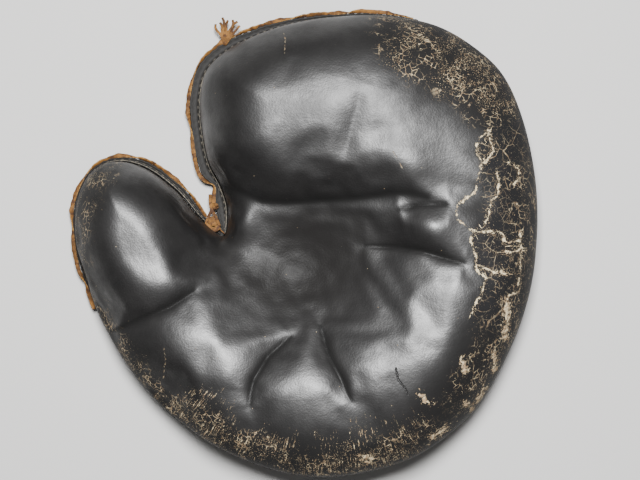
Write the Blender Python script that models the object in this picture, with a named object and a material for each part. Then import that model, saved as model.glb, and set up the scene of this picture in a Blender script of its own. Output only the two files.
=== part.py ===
"""A padded ball-catching mitt for the left hand, lying on its back with the palm up.

Every length below is in millimetres in the drawing frame; SHIFT and MM carry it to the part's frame, which is
in metres with +Z up, +Y towards the fingertips and the origin at the bottom centre of the bounding box.
"""

import math

import bmesh
import bpy
import numpy as np
from mathutils import Matrix, Vector
from mathutils.geometry import delaunay_2d_cdt

MM = 0.001
SHIFT = Vector((0.3, -1.2, 0.0))

# Leather and padding
LEATHER = 2.2
THIN = 1.4
GAP = 0.5
BACK_UNDER = 7.0
BACK_TOP = BACK_UNDER + 2.0
PAD_BOTTOM = BACK_TOP + 1.3
PAD_SLACK = 3.0  # room between the pads and the leather, which sags into its creases
HAND_ROOF = 28.5
THUMB_ROOF = 26.0
POCKET_FLOOR = 39.0

# Edge of the face leather, clockwise from the crotch between thumb and fingers
EDGE = [
    (-47, 2), (-44.5, 19), (-49, 34), (-56, 48), (-60, 68), (-61, 87), (-57, 104), (-45, 116),
    (-28, 125), (-6, 132.4), (22, 136.8), (52, 137.5), (82, 131.5), (106, 117.5), (124.5, 99.5),
    (136.5, 72), (143.5, 38), (144.6, 4), (140, -32), (127.5, -68), (106, -104), (74, -128.5),
    (36, -140.8), (-1, -141.8), (-38.3, -130.5), (-70.5, -111.5), (-98.5, -85), (-118.5, -54.5),
    (-130.5, -27), (-138, 0), (-137, 24), (-128.5, 41), (-114, 48), (-96, 44), (-77, 30), (-62, 13),
]
SPAN_STEPS = 3  # ring points in each span of EDGE
FINGER_SEAM = (0.35, 11.7)  # bound stretches, in spans of EDGE
THUMB_SEAM = (27.35, 34.75)
FINGER_LACE = (1.1, 11.6)  # laced stretches
THUMB_LACE = (27.45, 34.65)

# Line that the thumb folds about
FLEX_A = Vector((-46.0, 6.4))
FLEX_B = Vector((-119.0, -53.4))
FLEX_Z = BACK_UNDER + 1.0
FLEX_DEG = 15.0

# Lobes of the padded rim: place and crown height
LOBES = [
    ((-104, 8), 56), ((-88, -62), 60), ((-18, 92), 62), ((75, 92), 65),
    ((108, 12), 68), ((100, -62), 75), ((28, -102), 73), ((-48, -88), 67),
]
LOBE_REACH = 55.0
# The pocket, an oval bowl: its middle, its half sizes, and where its slope starts as a share of them
POCKET_AT, POCKET_SIZE, POCKET_FLAT = np.array([-2.0, -12.0]), np.array([98.0, 82.0]), 0.02
# Creases pressed into the padding: line, depth and half width
CREASES = [
    ([(-114, -56), (-98, -49.5), (-76, -40), (-63, -31)], 5.0, 4.0),
    ([(-90, -26), (-69, -13.5)], 2.6, 6.0),
    ([(-13, -55), (-21.5, -70), (-27.5, -83), (-29, -98)], 6.0, 5.0),
    ([(13, -52), (18.5, -70), (25.5, -83), (31, -95)], 5.0, 4.5),
    ([(40, -4), (57, -4.5), (73, -7), (97, -14)], 5.5, 4.0),
    ([(60, 17.5), (72, 20.5), (88, 21)], 3.0, 4.0),
    ([(38, 92), (31, 66), (27, 45)], 2.5, 10.0),
]
VALLEY, VALLEY_WIDER = 0.6, 3.6  # the shallow valley round each crease, as shares of its depth and half width
# Puffs: place, height and reach
PUFFS = [((-34, 12), 5.0, 10.0), ((76, 6), 5.0, 13.0), ((-80, -30), 3.0, 9.0)]
# The fold under the finger lobe, whose upper side hangs over it
FOLD = [(-52, 35), (-45, 31), (-33, 27.5), (-22, 23), (-8, 22), (34, 24.5), (55, 27), (66, 27.5), (76, 25)]
FOLD_LIFT, FOLD_NEAR, FOLD_FAR = 8.0, 12.0, 60.0
FOLD_DEPTH, FOLD_HALF = 5.0, 4.5

# Hand space: x from, x to, fingertip y
HAND_X = (-35.0, 53.0)
HAND_TIP = 88.0
WRIST_END = -165.0
LINING_END = -124.0
LINING_WALL = 1.6
LINING_ROOF = HAND_ROOF - GAP - 1.8
THUMB_WAY = [(-20, -58), (-82, -26), (-103, 20)]
THUMB_WAY_R = 15.5

STALLS = {
    "index_stall": (21.2, 80), "middle_stall": (21.2, 84), "ring_stall": (20.4, 80), "little_stall": (18.6, 68),
}
STALL_MOUTH = 8.0
STALL_GAP = 0.6
THUMB_STALL = {"mouth": (-88.0, -14.0), "tip": (-103.5, 24.0), "width": 25.0, "roof": 24.0}

# Wrist strap and buckle, on the back
STRAP_ROOT = Vector((62.0, -82.0))
STRAP_TURN = math.radians(197.5)
STRAP_LONG, STRAP_WIDE, STRAP_THICK, STRAP_Z = 104.0, 18.0, 2.0, 3.4
STRAP_GAP = 1.5
BAR = Vector((-62.0, -83.0, 3.8))
FRAME_LONG, FRAME_WIDE, WIRE_R = 19.0, 25.0, 1.2
FRAME_CORNER = 3.2
ROLLER_R = 2.1
BAR_BORE = WIRE_R + 0.35
CHAPE_R, CHAPE_LONG = 2.75, 17.0

COLOURS = {
    "black leather": ((0.018, 0.017, 0.017), 0.42, 0.0),
    "back leather": ((0.035, 0.025, 0.020), 0.5, 0.0),
    "lining leather": ((0.33, 0.21, 0.12), 0.7, 0.0),
    "lace leather": ((0.36, 0.15, 0.06), 0.55, 0.0),
    "hair felt": ((0.30, 0.26, 0.21), 0.95, 0.0),
    "nickelled steel": ((0.55, 0.53, 0.50), 0.35, 1.0),
    "brass": ((0.60, 0.42, 0.18), 0.4, 1.0),
}


# ---------------------------------------------------------------- objects and materials


def material(name):
    if name in bpy.data.materials:
        return bpy.data.materials[name]
    colour, roughness, metallic = COLOURS[name]
    made = bpy.data.materials.new(name)
    made.use_nodes = True
    shader = made.node_tree.nodes["Principled BSDF"]
    shader.inputs["Base Color"].default_value = (*colour, 1.0)
    shader.inputs["Roughness"].default_value = roughness
    shader.inputs["Metallic"].default_value = metallic
    return made


def add_object(name, mesh, finish=None, smooth=False):
    """An object holding a mesh drawn in millimetres."""
    mesh.transform(Matrix.Scale(MM, 4) @ Matrix.Translation(SHIFT))
    if smooth:
        mesh.shade_smooth()
        mesh.set_sharp_from_angle(angle=math.radians(45))
    obj = bpy.data.objects.new(name, mesh)
    bpy.context.scene.collection.objects.link(obj)
    if finish:
        mesh.materials.append(material(finish))
    else:
        obj.hide_render = True
        obj.display_type = "WIRE"
    return obj


def mesh_from(bm):
    bmesh.ops.recalc_face_normals(bm, faces=bm.faces)
    mesh = bpy.data.meshes.new("mesh")
    bm.to_mesh(mesh)
    bm.free()
    return mesh


def boolean(obj, operation, *cutters):
    for cutter in cutters:
        modifier = obj.modifiers.new(operation.lower(), "BOOLEAN")
        modifier.operation = operation
        modifier.object = cutter
    return obj


def prism(points, low, high):
    """A closed upright prism over a plan polygon. low and high may each be a height or one height per point."""
    bm = bmesh.new()
    count = len(points)
    lows = low if hasattr(low, "__len__") else [low] * count
    highs = high if hasattr(high, "__len__") else [high] * count
    bottom = [bm.verts.new((x, y, z)) for (x, y), z in zip(points, lows)]
    top = [bm.verts.new((x, y, z)) for (x, y), z in zip(points, highs)]
    bm.faces.new(bottom[::-1])
    bm.faces.new(top)
    for i in range(count):
        j = (i + 1) % count
        bm.faces.new((bottom[i], bottom[j], top[j], top[i]))
    return bm


def box_mesh(low, high, bevel=0.0, segments=2):
    bm = bmesh.new()
    size = Vector(high) - Vector(low)
    centre = (Vector(high) + Vector(low)) / 2
    bmesh.ops.create_cube(bm, size=1.0, matrix=Matrix.Translation(centre) @ Matrix.Diagonal((*size, 1.0)))
    if bevel:
        bmesh.ops.bevel(bm, geom=bm.edges[:], offset=bevel, segments=segments, affect="EDGES", profile=0.5)
    return mesh_from(bm)


def capsule(a, b, radius, steps=8):
    """Plan outline of a round-ended bar from a to b."""
    a, b = Vector(a), Vector(b)
    turn = math.atan2(b.y - a.y, b.x - a.x)
    points = []
    for centre, start in ((b, turn - math.pi / 2), (a, turn + math.pi / 2)):
        for k in range(steps + 1):
            angle = start + math.pi * k / steps
            points.append((centre.x + radius * math.cos(angle), centre.y + radius * math.sin(angle)))
    return points


def rod(radius, start, end, sides=16):
    """A closed cylinder between two points."""
    start, end = Vector(start), Vector(end)
    bm = bmesh.new()
    along = end - start
    matrix = Matrix.Translation((start + end) / 2) @ along.to_track_quat("Z", "Y").to_matrix().to_4x4()
    bmesh.ops.create_cone(
        bm, cap_ends=True, segments=sides, radius1=radius, radius2=radius, depth=along.length, matrix=matrix
    )
    return bm


# ---------------------------------------------------------------- the edge of the face leather


def smooth_step(x, low, high):
    t = np.clip((np.asarray(x, float) - low) / (high - low), 0, 1)
    return t * t * (3 - 2 * t)


def edge_point(u):
    """A point of the closed edge at u spans from the crotch, on a smooth curve through EDGE."""
    i, t = int(math.floor(u)), u - math.floor(u)
    a, b, c, d = (np.array(EDGE[(i + k) % len(EDGE)], float) for k in (-1, 0, 1, 2))
    return 0.5 * (2 * b + (c - a) * t + (2 * a - 5 * b + 4 * c - d) * t**2 + (3 * b - a - 3 * c + d) * t**3)


def inward(u):
    """The unit normal that points into the mitt; the edge runs clockwise, so it is on the right."""
    step = edge_point(u + 0.02) - edge_point(u - 0.02)
    return np.array([step[1], -step[0]]) / np.hypot(*step)


def inset(u, distance):
    return edge_point(u) + inward(u) * distance


def wrapped(u):
    """0 where the seam shows at the mitt's edge, 1 where the leather wraps round to the back."""
    u = np.mod(u, len(EDGE))
    return smooth_step(u, 11.2, 13.2) * (1 - smooth_step(u, 26.4, 27.6))


def wrist(u):
    """1 along the stretch of the heel that the wrist passes under."""
    u = np.mod(u, len(EDGE))
    return smooth_step(u, 20.0, 21.3) * (1 - smooth_step(u, 24.4, 25.6))


def rim_inset(u):
    return 9.0 * wrapped(u)


def rim_height(u):
    return BACK_UNDER + 23.0 * wrist(u)


def equator_height(u):
    return 15.0 + 13.0 * wrapped(u) + 14.0 * wrist(u)


FINE = np.arange(0, len(EDGE), 0.1)
FINE_POINTS = np.array([edge_point(u) for u in FINE])


def from_edge(points):
    """For each plan point, its distance inside the edge and the nearest place on it, in spans."""
    points = np.asarray(points, float).reshape(-1, 2)
    starts, ends = FINE_POINTS, np.roll(FINE_POINTS, -1, axis=0)
    run = ends - starts
    t = np.einsum("pnk,nk->pn", points[:, None] - starts, run) / (run * run).sum(1)
    t = np.clip(t, 0, 1)
    away = np.linalg.norm(points[:, None] - starts - t[..., None] * run, axis=2)
    nearest = away.argmin(axis=1)
    rows = np.arange(len(points))
    return away[rows, nearest], FINE[nearest] + 0.1 * t[rows, nearest]


def is_inside(points):
    """True for plan points within the edge, by counting crossings."""
    points = np.asarray(points, float).reshape(-1, 2)
    (x0, y0), (x1, y1) = FINE_POINTS.T, np.roll(FINE_POINTS, -1, axis=0).T
    x, y = points[:, :1], points[:, 1:]
    spans = (y0 > y) != (y1 > y)
    rise = np.where(y1 == y0, 1e-9, y1 - y0)
    return (spans & (x < (x1 - x0) * (y - y0) / rise + x0)).sum(axis=1) % 2 == 1


def from_line(points, line):
    """Distance of each plan point from a polyline, how far along it the nearest place is, from 0 to 1, and the
    distance again with a sign: positive on the line's left."""
    points = np.asarray(points, float).reshape(-1, 2)
    line = np.asarray(line, float)
    best, signed, spot = np.full(len(points), np.inf), np.zeros(len(points)), np.zeros(len(points))
    lengths = np.linalg.norm(np.diff(line, axis=0), axis=1)
    so_far = 0.0
    for a, b, length in zip(line[:-1], line[1:], lengths):
        run = (b - a) / length
        t = np.clip((points - a) @ run / length, 0, 1)
        away = np.linalg.norm(points - a - (t * length)[:, None] * run, axis=1)
        nearer = away < best
        left = run[0] * (points - a)[:, 1] - run[1] * (points - a)[:, 0]
        best = np.where(nearer, away, best)
        signed = np.where(nearer, np.where(left >= 0, away, -away), signed)
        spot = np.where(nearer, (so_far + t * length) / lengths.sum(), spot)
        so_far += length
    return best, spot, signed


# ---------------------------------------------------------------- the moulded face


def crown_height(points):
    """Height of the padded rim, smoothed between the lobes."""
    total = np.zeros(len(points))
    weight = np.full(len(points), 1e-9)
    for place, height in LOBES:
        share = np.exp(-((points - np.array(place)) ** 2).sum(1) / (2 * LOBE_REACH**2))
        total += share * height
        weight += share
    return total / weight


def end_taper(spot):
    """Fades a crease in and out along its line."""
    return smooth_step(spot, -0.2, 0.3) * (1 - smooth_step(spot, 0.7, 1.2))


def pocket_rise(points):
    """0 on the pocket's floor, 1 on the crest of the rim round it."""
    return smooth_step(np.linalg.norm((points - POCKET_AT) / POCKET_SIZE, axis=1), POCKET_FLAT, 1.0)


def face_height(points):
    """Height of the outer face of the palm leather over plan points."""
    points = np.asarray(points, float).reshape(-1, 2)
    depth, near = from_edge(points)
    rim = pocket_rise(points)
    top = POCKET_FLOOR + (crown_height(points) - POCKET_FLOOR) * rim
    on_thumb = smooth_step(near, 27.0, 28.5) * (1 - smooth_step(near, 34.5, 35.8))
    round_to = 42.0 + 8.0 * wrapped(near) - 10.0 * on_thumb
    dome = np.sqrt(1 - (1 - np.minimum(depth / round_to, 1)) ** 2)
    lift = np.zeros(len(points))
    for spot, height, reach in PUFFS:
        lift += height * np.exp(-((points - np.array(spot)) ** 2).sum(1) / reach**2)
    for line, deep, half_width in CREASES:
        away, spot, _ = from_line(points, line)
        valley = VALLEY * np.exp(-((away / (VALLEY_WIDER * half_width)) ** 2))
        lift -= deep * end_taper(spot) * (np.exp(-((away / half_width) ** 2)) + valley)
    away, _, signed = from_line(points, FOLD)
    above = np.maximum(signed, 0)
    ends = smooth_step(points[:, 0], -60, -35) * (1 - smooth_step(points[:, 0], 48, 86))
    lift += FOLD_LIFT * ends * smooth_step(above, 0, FOLD_NEAR) * np.exp(-((above / FOLD_FAR) ** 2))
    lift -= FOLD_DEPTH * ends * np.exp(-((away / FOLD_HALF) ** 2))
    base = equator_height(near)
    return base + (top + lift - base) * dome


RING_INSETS = (1.6, 6.0, 13.0, 22.0)
GRID = 12.0
LINE_CLEAR = 5.0  # the grid keeps this far from the creases, which have points of their own


def crease_points():
    """Plan points along the bottoms of the creases and the fold."""
    points = []
    for line in [crease[0] for crease in CREASES[:-1]] + [FOLD]:
        line = np.array(line, float)
        points.extend(line)
        points.extend((line[:-1] + line[1:]) / 2)
    points = np.array(points)
    return points[from_edge(points)[0] > RING_INSETS[-1] + LINE_CLEAR]


def face_surface():
    """The outer face of the palm leather, as an open surface from the back rim up and over into the pocket."""
    places = [k / SPAN_STEPS for k in range(len(EDGE) * SPAN_STEPS)]
    count = len(places)
    rim = [(*inset(u, rim_inset(u)), float(rim_height(u))) for u in places]
    turn = [
        (*inset(u, rim_inset(u) * 0.28), float(rim_height(u) * 0.62 + equator_height(u) * 0.38))
        for u in places
    ]
    equator = [(*edge_point(u), float(equator_height(u))) for u in places]
    rings = [rim, turn, equator]
    for distance in RING_INSETS:
        plan = np.array([inset(u, distance) for u in places])
        rings.append(list(zip(plan[:, 0], plan[:, 1], face_height(plan))))
    xs, ys = np.arange(-150, 150, GRID), np.arange(-150, 150, GRID * 0.87)
    grid = [(x + (row % 2) * GRID / 2, y) for row, y in enumerate(ys) for x in xs]
    grid = np.array(grid)
    grid = grid[is_inside(grid) & (from_edge(grid)[0] > RING_INSETS[-1] + GRID * 0.5)]
    lines = crease_points()
    clear = np.linalg.norm(grid[:, None] - lines, axis=2).min(axis=1) > LINE_CLEAR
    plan = [Vector((p[0], p[1])) for p in rings[-1]] + [Vector(p) for p in (*grid[clear], *lines)]
    ring_face = [list(range(count - 1, -1, -1))]
    points, _, faces, origins, _, _ = delaunay_2d_cdt(plan, [], ring_face, 1, 1e-4)
    heights = face_height([(p.x, p.y) for p in points])
    bm = bmesh.new()
    made = [[bm.verts.new(p) for p in ring] for ring in rings]
    middle = []
    for point, origin, height in zip(points, origins, heights):
        if origin and origin[0] < count:
            middle.append(made[-1][origin[0]])
        else:
            middle.append(bm.verts.new((point.x, point.y, height)))
    for low, high in zip(made[:-1], made[1:]):
        for i in range(count):
            j = (i + 1) % count
            bm.faces.new((low[i], high[i], high[j], low[j]))
    for face in faces:
        bm.faces.new([middle[i] for i in face])
    bmesh.ops.recalc_face_normals(bm, faces=bm.faces)
    if sum(face.normal.z for face in bm.faces) < 0:
        bmesh.ops.reverse_faces(bm, faces=bm.faces)
    return bm


def add_face(name):
    """The palm leather: the face surface thickened inwards."""
    bm = face_surface()
    mesh = bpy.data.meshes.new("face")
    bm.to_mesh(mesh)
    bm.free()
    face = add_object(name, mesh, "black leather", smooth=True)
    solidify = face.modifiers.new("thickness", "SOLIDIFY")
    solidify.thickness = LEATHER * MM
    solidify.offset = -1.0
    return face


def padding_mesh():
    """Everything that the palm leather is stuffed with, before it is cut into its pads."""
    bm = face_surface()
    bm.normal_update()
    moved = []
    for v in bm.verts:
        slack = PAD_SLACK * float(smooth_step(v.normal.z, 0.2, 0.8))
        moved.append(v.co - v.normal * (LEATHER + GAP) - Vector((0, 0, slack)))
    for v, co in zip(bm.verts, moved):
        v.co = co
    rim = [e for e in bm.edges if e.is_boundary]
    skirt = bmesh.ops.extrude_edge_only(bm, edges=rim)["geom"]
    for v in skirt:
        if isinstance(v, bmesh.types.BMVert):
            v.co.z = 0.0
    bmesh.ops.holes_fill(bm, edges=[e for e in bm.edges if e.is_boundary], sides=0)
    return mesh_from(bm)


# ---------------------------------------------------------------- cutters


def flex_frame():
    """Unit vectors along the flex line, towards the crotch, and across it, towards the thumb."""
    along = (FLEX_A - FLEX_B).normalized()
    return along, Vector((-along.y, along.x))


def thumb_region(clearance):
    """A closed wedge-sided block over the thumb lobe. Its side at the flex line leans by half the fold and
    stands that clearance away from the line: positive on the thumb's side, negative on the palm's."""
    along, across = flex_frame()
    side = 1 if clearance > 0 else -1
    lean = side * math.tan(math.radians(FLEX_DEG / 2 + 0.6))
    start = FLEX_A - along * 3.0 * side
    end = FLEX_B - along * 30.0
    notch = [Vector((-58.0, 22.0)), Vector((-70.0, 70.0)), Vector((-175.0, 80.0)), Vector((-175.0, -60.0))]
    plan_low, plan_high = [], []
    low, high = -5.0, 90.0
    for point in (start, end):
        plan_low.append(point + across * (clearance + lean * (low - FLEX_Z)))
        plan_high.append(point + across * (clearance + lean * (high - FLEX_Z)))
    bm = bmesh.new()
    bottom = [bm.verts.new((*p, low)) for p in [*plan_low, *notch[::-1]]]
    top = [bm.verts.new((*p, high)) for p in [*plan_high, *notch[::-1]]]
    count = len(bottom)
    bm.faces.new(bottom)
    bm.faces.new(top)
    for i in range(count):
        j = (i + 1) % count
        bm.faces.new((bottom[i], bottom[j], top[j], top[i]))
    bmesh.ops.triangulate(bm, faces=bm.faces)
    return mesh_from(bm)


def plan_cutter(name, points, low, high):
    return add_object(name, mesh_from(prism(points, low, high)))


POCKET_PAD = {"centre": (4.0, -6.0), "rx": 50.0, "ry": 33.0}
PAD_CUTS = {
    "finger_pad": [(0, -6), (-60, 12.5), (-75, 90), (-60, 170), (170, 170), (170, 30), (60, 22)],
    "side_pad": [(0, -6), (60, 21.5), (170, 29.5), (170, -170), (44.8, -170), (24, -90), (14, -50)],
    "heel_pad": [(0, -6), (13.5, -50), (23.5, -90), (44.3, -170), (-170, -170), (-170, -50), (-60, 12)],
}


def ellipse(centre, rx, ry, steps=28):
    turns = [2 * math.pi * k / steps for k in range(steps)]
    return [(centre[0] + rx * math.cos(t), centre[1] + ry * math.sin(t)) for t in turns]


# ---------------------------------------------------------------- pieces


def make_face_and_pads():
    thumb_side = add_object("cut_thumb_side", thumb_region(0.3))
    palm_side = add_object("cut_palm_side", thumb_region(-0.3))
    for name, operation, cutter in (
        ("palm_face", "DIFFERENCE", palm_side),
        ("thumb_face", "INTERSECT", thumb_side),
    ):
        boolean(add_face(name), operation, cutter)

    under = plan_cutter("cut_under", [(-200, -200), (200, -200), (200, 200), (-200, 200)], -20, PAD_BOTTOM)
    hand = plan_cutter("cut_hand", hand_plan(0.0), -20, HAND_ROOF)
    ways = thumb_way_cutters("cut_thumb_way", THUMB_ROOF)
    core = POCKET_PAD["centre"], POCKET_PAD["rx"], POCKET_PAD["ry"]
    around = plan_cutter("cut_pocket_pad_around", ellipse(core[0], core[1] + 0.5, core[2] + 0.5), -20, 120)
    within = plan_cutter("cut_pocket_pad_within", ellipse(*core), -20, 120)
    for name, plan in PAD_CUTS.items():
        region = plan_cutter("cut_" + name, plan, -20, 120)
        pad = add_object(name, padding_mesh(), "hair felt", smooth=True)
        boolean(pad, "INTERSECT", region)
        boolean(pad, "DIFFERENCE", under, hand, *ways, around)
        if name == "heel_pad":
            boolean(pad, "DIFFERENCE", palm_side)
            for modifier in pad.modifiers:
                modifier.solver = "MANIFOLD"
    palm = add_object("palm_felt", padding_mesh(), "hair felt", smooth=True)
    boolean(palm, "INTERSECT", within)
    boolean(palm, "DIFFERENCE", under, hand, *ways, palm_side)
    thumb = add_object("thumb_pad", padding_mesh(), "hair felt", smooth=True)
    boolean(thumb, "INTERSECT", thumb_side)
    boolean(thumb, "DIFFERENCE", under, *ways)


HAND_CORNER = 9.0


def hand_plan(inside):
    """Plan of the space for the palm, fingers and wrist, shrunk by inside."""
    x0, x1 = HAND_X[0] + inside, HAND_X[1] - inside
    y1 = HAND_TIP - inside
    plan = [(x0, WRIST_END), (x1, WRIST_END)]
    for middle, start in ((x1 - HAND_CORNER, 0), (x0 + HAND_CORNER, 90)):
        for k in range(5):
            angle = math.radians(start + 22.5 * k)
            x = middle + HAND_CORNER * math.cos(angle)
            plan.append((x, y1 - HAND_CORNER + HAND_CORNER * math.sin(angle)))
    return plan


def thumb_way_cutters(name, roof):
    """The space for the thumb, in two straight stretches. The second is a little lower: they share no face."""
    pairs = zip(THUMB_WAY[:-1], THUMB_WAY[1:])
    return [
        plan_cutter(f"{name}_{k}", capsule(a, b, THUMB_WAY_R), -20, roof - 0.4 * k)
        for k, (a, b) in enumerate(pairs)
    ]


def make_lining():
    """Leather tray that lines the hand space: roof and side walls, open below and at the wrist."""
    block = prism(hand_plan(GAP), BACK_UNDER - 0.5, HAND_ROOF - GAP)
    tray = add_object("hand_lining", mesh_from(block), "lining leather")
    inner = plan_cutter("cut_lining", hand_plan(GAP + LINING_WALL), -20, LINING_ROOF)
    end = plan_cutter("cut_lining_end", [(-60, -250), (80, -250), (80, LINING_END), (-60, LINING_END)], -20, 60)
    way = add_object("cut_lining_way", box_mesh((-60, -96, -20), (-30, -22, LINING_ROOF)))
    boolean(tray, "DIFFERENCE", inner, end, way)


# The lower left corner of the back, which the thumb's way parts from the rest
HEEL_BACK = [(-10, -58), (-20, -58), (-82, -26), (-170, 15), (-170, -200), (-10, -200)]


def make_back():
    """The leather sheets that close the back, around the hand and beyond the flex line."""
    places = [k / SPAN_STEPS for k in range(len(EDGE) * SPAN_STEPS)]
    plan = [tuple(inset(u, float(rim_inset(u)) + LEATHER + GAP + 0.5)) for u in places][::-1]
    hand = plan_cutter("cut_back_hand", hand_plan(0.0), -20, 60)
    ways = thumb_way_cutters("cut_back_way", 60.0)
    rivets = [
        add_object(f"cut_rivet_{k}", mesh_from(rod(1.4, (x, y, -10), (x, y, 12), 12)))
        for k, (x, y) in enumerate(RIVETS.values())
    ]
    heel = plan_cutter("cut_heel_back", HEEL_BACK, -20, 60)
    palm_side, thumb_side = bpy.data.objects["cut_palm_side"], bpy.data.objects["cut_thumb_side"]
    for name, operation, cutter in (
        ("back_panel", "DIFFERENCE", heel),
        ("heel_back_panel", "INTERSECT", heel),
        ("thumb_back_panel", "INTERSECT", thumb_side),
    ):
        panel = add_object(name, mesh_from(prism(plan, BACK_UNDER, BACK_TOP)), "back leather")
        boolean(panel, operation, cutter)
        boolean(panel, "DIFFERENCE", hand, *ways)
        if name != "thumb_back_panel":
            boolean(panel, "DIFFERENCE", palm_side, *rivets)


def stall_block(length, width, height):
    """The outside of a stall along +Y from the origin, rounded at the fingertip and along its underside."""
    plan = [(-width / 2, 0), (width / 2, 0)]
    corner = width * 0.32
    for sign, start in ((1, 0), (-1, 90)):
        for k in range(5):
            angle = math.radians(start + 22.5 * k)
            x = sign * (width / 2 - corner) + corner * math.cos(angle)
            plan.append((x, length - corner + corner * math.sin(angle)))
    outer = prism(plan, 0.0, height)
    low_edges = [e for e in outer.edges if all(v.co.z < 1e-6 for v in e.verts)]
    low_edges = [e for e in low_edges if any(v.co.y > 1e-6 for v in e.verts)]
    bmesh.ops.bevel(outer, geom=low_edges, offset=2.0, segments=2, affect="EDGES", profile=0.5)
    return mesh_from(outer)


def make_stalls():
    roof = LINING_ROOF - GAP
    x = (HAND_X[0] + HAND_X[1] - sum(w for w, _ in STALLS.values()) - STALL_GAP * 3) / 2
    for name, (width, tip) in STALLS.items():
        middle = x + width / 2
        mesh = stall_block(tip - STALL_MOUTH, width, roof)
        mesh.transform(Matrix.Translation((middle, STALL_MOUTH, 0)))
        stall = add_object(name, mesh, "back leather", smooth=True)
        low = (x + THIN, STALL_MOUTH - 5, THIN + 0.2)
        inner = add_object(f"cut_{name}", box_mesh(low, (x + width - THIN, tip - THIN - 2.2, 60)))
        boolean(stall, "DIFFERENCE", inner)
        x += width + STALL_GAP
    mouth, tip = Vector(THUMB_STALL["mouth"]), Vector(THUMB_STALL["tip"])
    width, roof = THUMB_STALL["width"], THUMB_STALL["roof"]
    long = (tip - mouth).length
    turn = Matrix.Rotation(math.atan2(tip.y - mouth.y, tip.x - mouth.x) - math.pi / 2, 4, "Z")
    place = Matrix.Translation((*mouth, 0)) @ turn
    mesh = stall_block(long, width, roof)
    mesh.transform(place)
    stall = add_object("thumb_stall", mesh, "back leather", smooth=True)
    inner = box_mesh((-width / 2 + THIN, -5, THIN + 0.2), (width / 2 - THIN, long - THIN - 2.6, 60))
    inner.transform(place)
    boolean(stall, "DIFFERENCE", add_object("cut_thumb_stall", inner))


def bridge(bm, rings, closed=False):
    """Faces between rings of the same length, with a cap at each end unless the rings close on themselves."""
    sides = len(rings[0])
    for low, high in zip(rings, [*rings[1:], rings[0]] if closed else rings[1:]):
        for i in range(sides):
            j = (i + 1) % sides
            bm.faces.new((low[i], low[j], high[j], high[i]))
    if not closed:
        bm.faces.new(rings[0][::-1])
        bm.faces.new(rings[-1])


def swept_strip(name, finish, start, end, section, step=0.25):
    """A strip that follows the edge. section(u) gives its outline as pairs: how far outside the edge, height."""
    count = int(round((end - start) / step))
    bm = bmesh.new()
    rings = []
    for k in range(count + 1):
        u = start + (end - start) * k / count
        ring = []
        for outside, height in section(u):
            x, y = inset(u, -outside)
            ring.append(bm.verts.new((x, y, height)))
        rings.append(ring)
    bridge(bm, rings)
    return add_object(name, mesh_from(bm), finish, smooth=True)


WELT_NEAR, WELT_LOW, WELT_HIGH = 0.4, 6.6, 9.4
LACE_R = 1.45
LACE_SWING = 1.0


def welt_width(u):
    """How far the bound seam stands out from the face leather."""
    if u < 20:
        wide = 6.6 - 4.2 * smooth_step(u, 6.0, 11.5) - 3.2 * math.exp(-(((u - 2.05) / 0.35) ** 2))
        return float(wide * math.sqrt(smooth_step(u, 0.2, 1.1)) + 0.4)
    return float(2.6 + 1.6 * smooth_step(u, 31.5, 33.5) - 1.0 * smooth_step(u, 34.2, 34.75))


def welt_section(u):
    far = WELT_NEAR + welt_width(u)
    nose = (far + 0.3, (WELT_LOW + WELT_HIGH) / 2)
    return [(WELT_NEAR, WELT_LOW), (far, WELT_LOW), nose, (far, WELT_HIGH), (WELT_NEAR, WELT_HIGH)]


def lace_section(u):
    """The lace beside the welt, swinging up and down as it goes over and under the seam."""
    swing = math.sin(u * 3 * math.pi)
    centre = WELT_NEAR + welt_width(u) + 0.3 + GAP + LACE_R + 0.25 * swing
    middle = (WELT_LOW + WELT_HIGH) / 2 + LACE_SWING * swing
    turns = [2 * math.pi * k / 8 for k in range(8)]
    return [(centre + LACE_R * math.cos(t), middle + LACE_R * math.sin(t)) for t in turns]


def make_seams():
    for name, (start, end) in (("finger_welt", FINGER_SEAM), ("thumb_welt", THUMB_SEAM)):
        swept_strip(name, "black leather", start, end, welt_section)
    for name, (start, end) in (("finger_lace", FINGER_LACE), ("thumb_lace", THUMB_LACE)):
        swept_strip(name, "lace leather", start, end, lace_section, step=1 / 6)


def make_lace_tail():
    """The frayed end of the lace, a flat fan that points away from the mitt."""
    at = 6.9
    start = Vector((*inset(at, -(WELT_NEAR + welt_width(at) + 0.3 + GAP + 2 * LACE_R + 0.8)), 7.8))
    out = Vector((*(-inward(at)), 0))
    side = Vector((-out.y, out.x, 0))
    bm = bmesh.new()
    rings = []
    for reach, radius in ((0.0, 1.0), (3.5, 1.7), (7.0, 3.4), (9.5, 2.4)):
        ring = []
        for k in range(8):
            angle = 2 * math.pi * k / 8
            up = Vector((0, 0, min(radius, 1.9) * math.sin(angle)))
            ring.append(bm.verts.new(start + out * reach + side * radius * math.cos(angle) + up))
        rings.append(ring)
    bridge(bm, rings)
    add_object("lace_tail", mesh_from(bm), "lace leather", smooth=True)


def make_crotch_knot():
    """The lace's last loop, drawn tight in the crotch between thumb and fingers."""
    centre = Vector((-51.0, 15.5, 12.6))
    turns = [math.radians(a) for a in range(-150, 165, 35)]
    points = [centre + Vector((2.4 * math.cos(t), 4.2 * math.sin(t), 0.5 * math.sin(2 * t))) for t in turns]
    bm = bmesh.new()
    rings = []
    for i, point in enumerate(points):
        along = (points[min(i + 1, len(points) - 1)] - points[max(i - 1, 0)]).normalized()
        side = along.cross(Vector((0.3, 0.2, 1.0))).normalized()
        up = side.cross(along)
        around = [2 * math.pi * k / 8 for k in range(8)]
        rings.append([bm.verts.new(point + (side * math.cos(t) + up * math.sin(t)) * LACE_R) for t in around])
    bridge(bm, rings)
    add_object("crotch_knot", mesh_from(bm), "lace leather", smooth=True)


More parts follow.
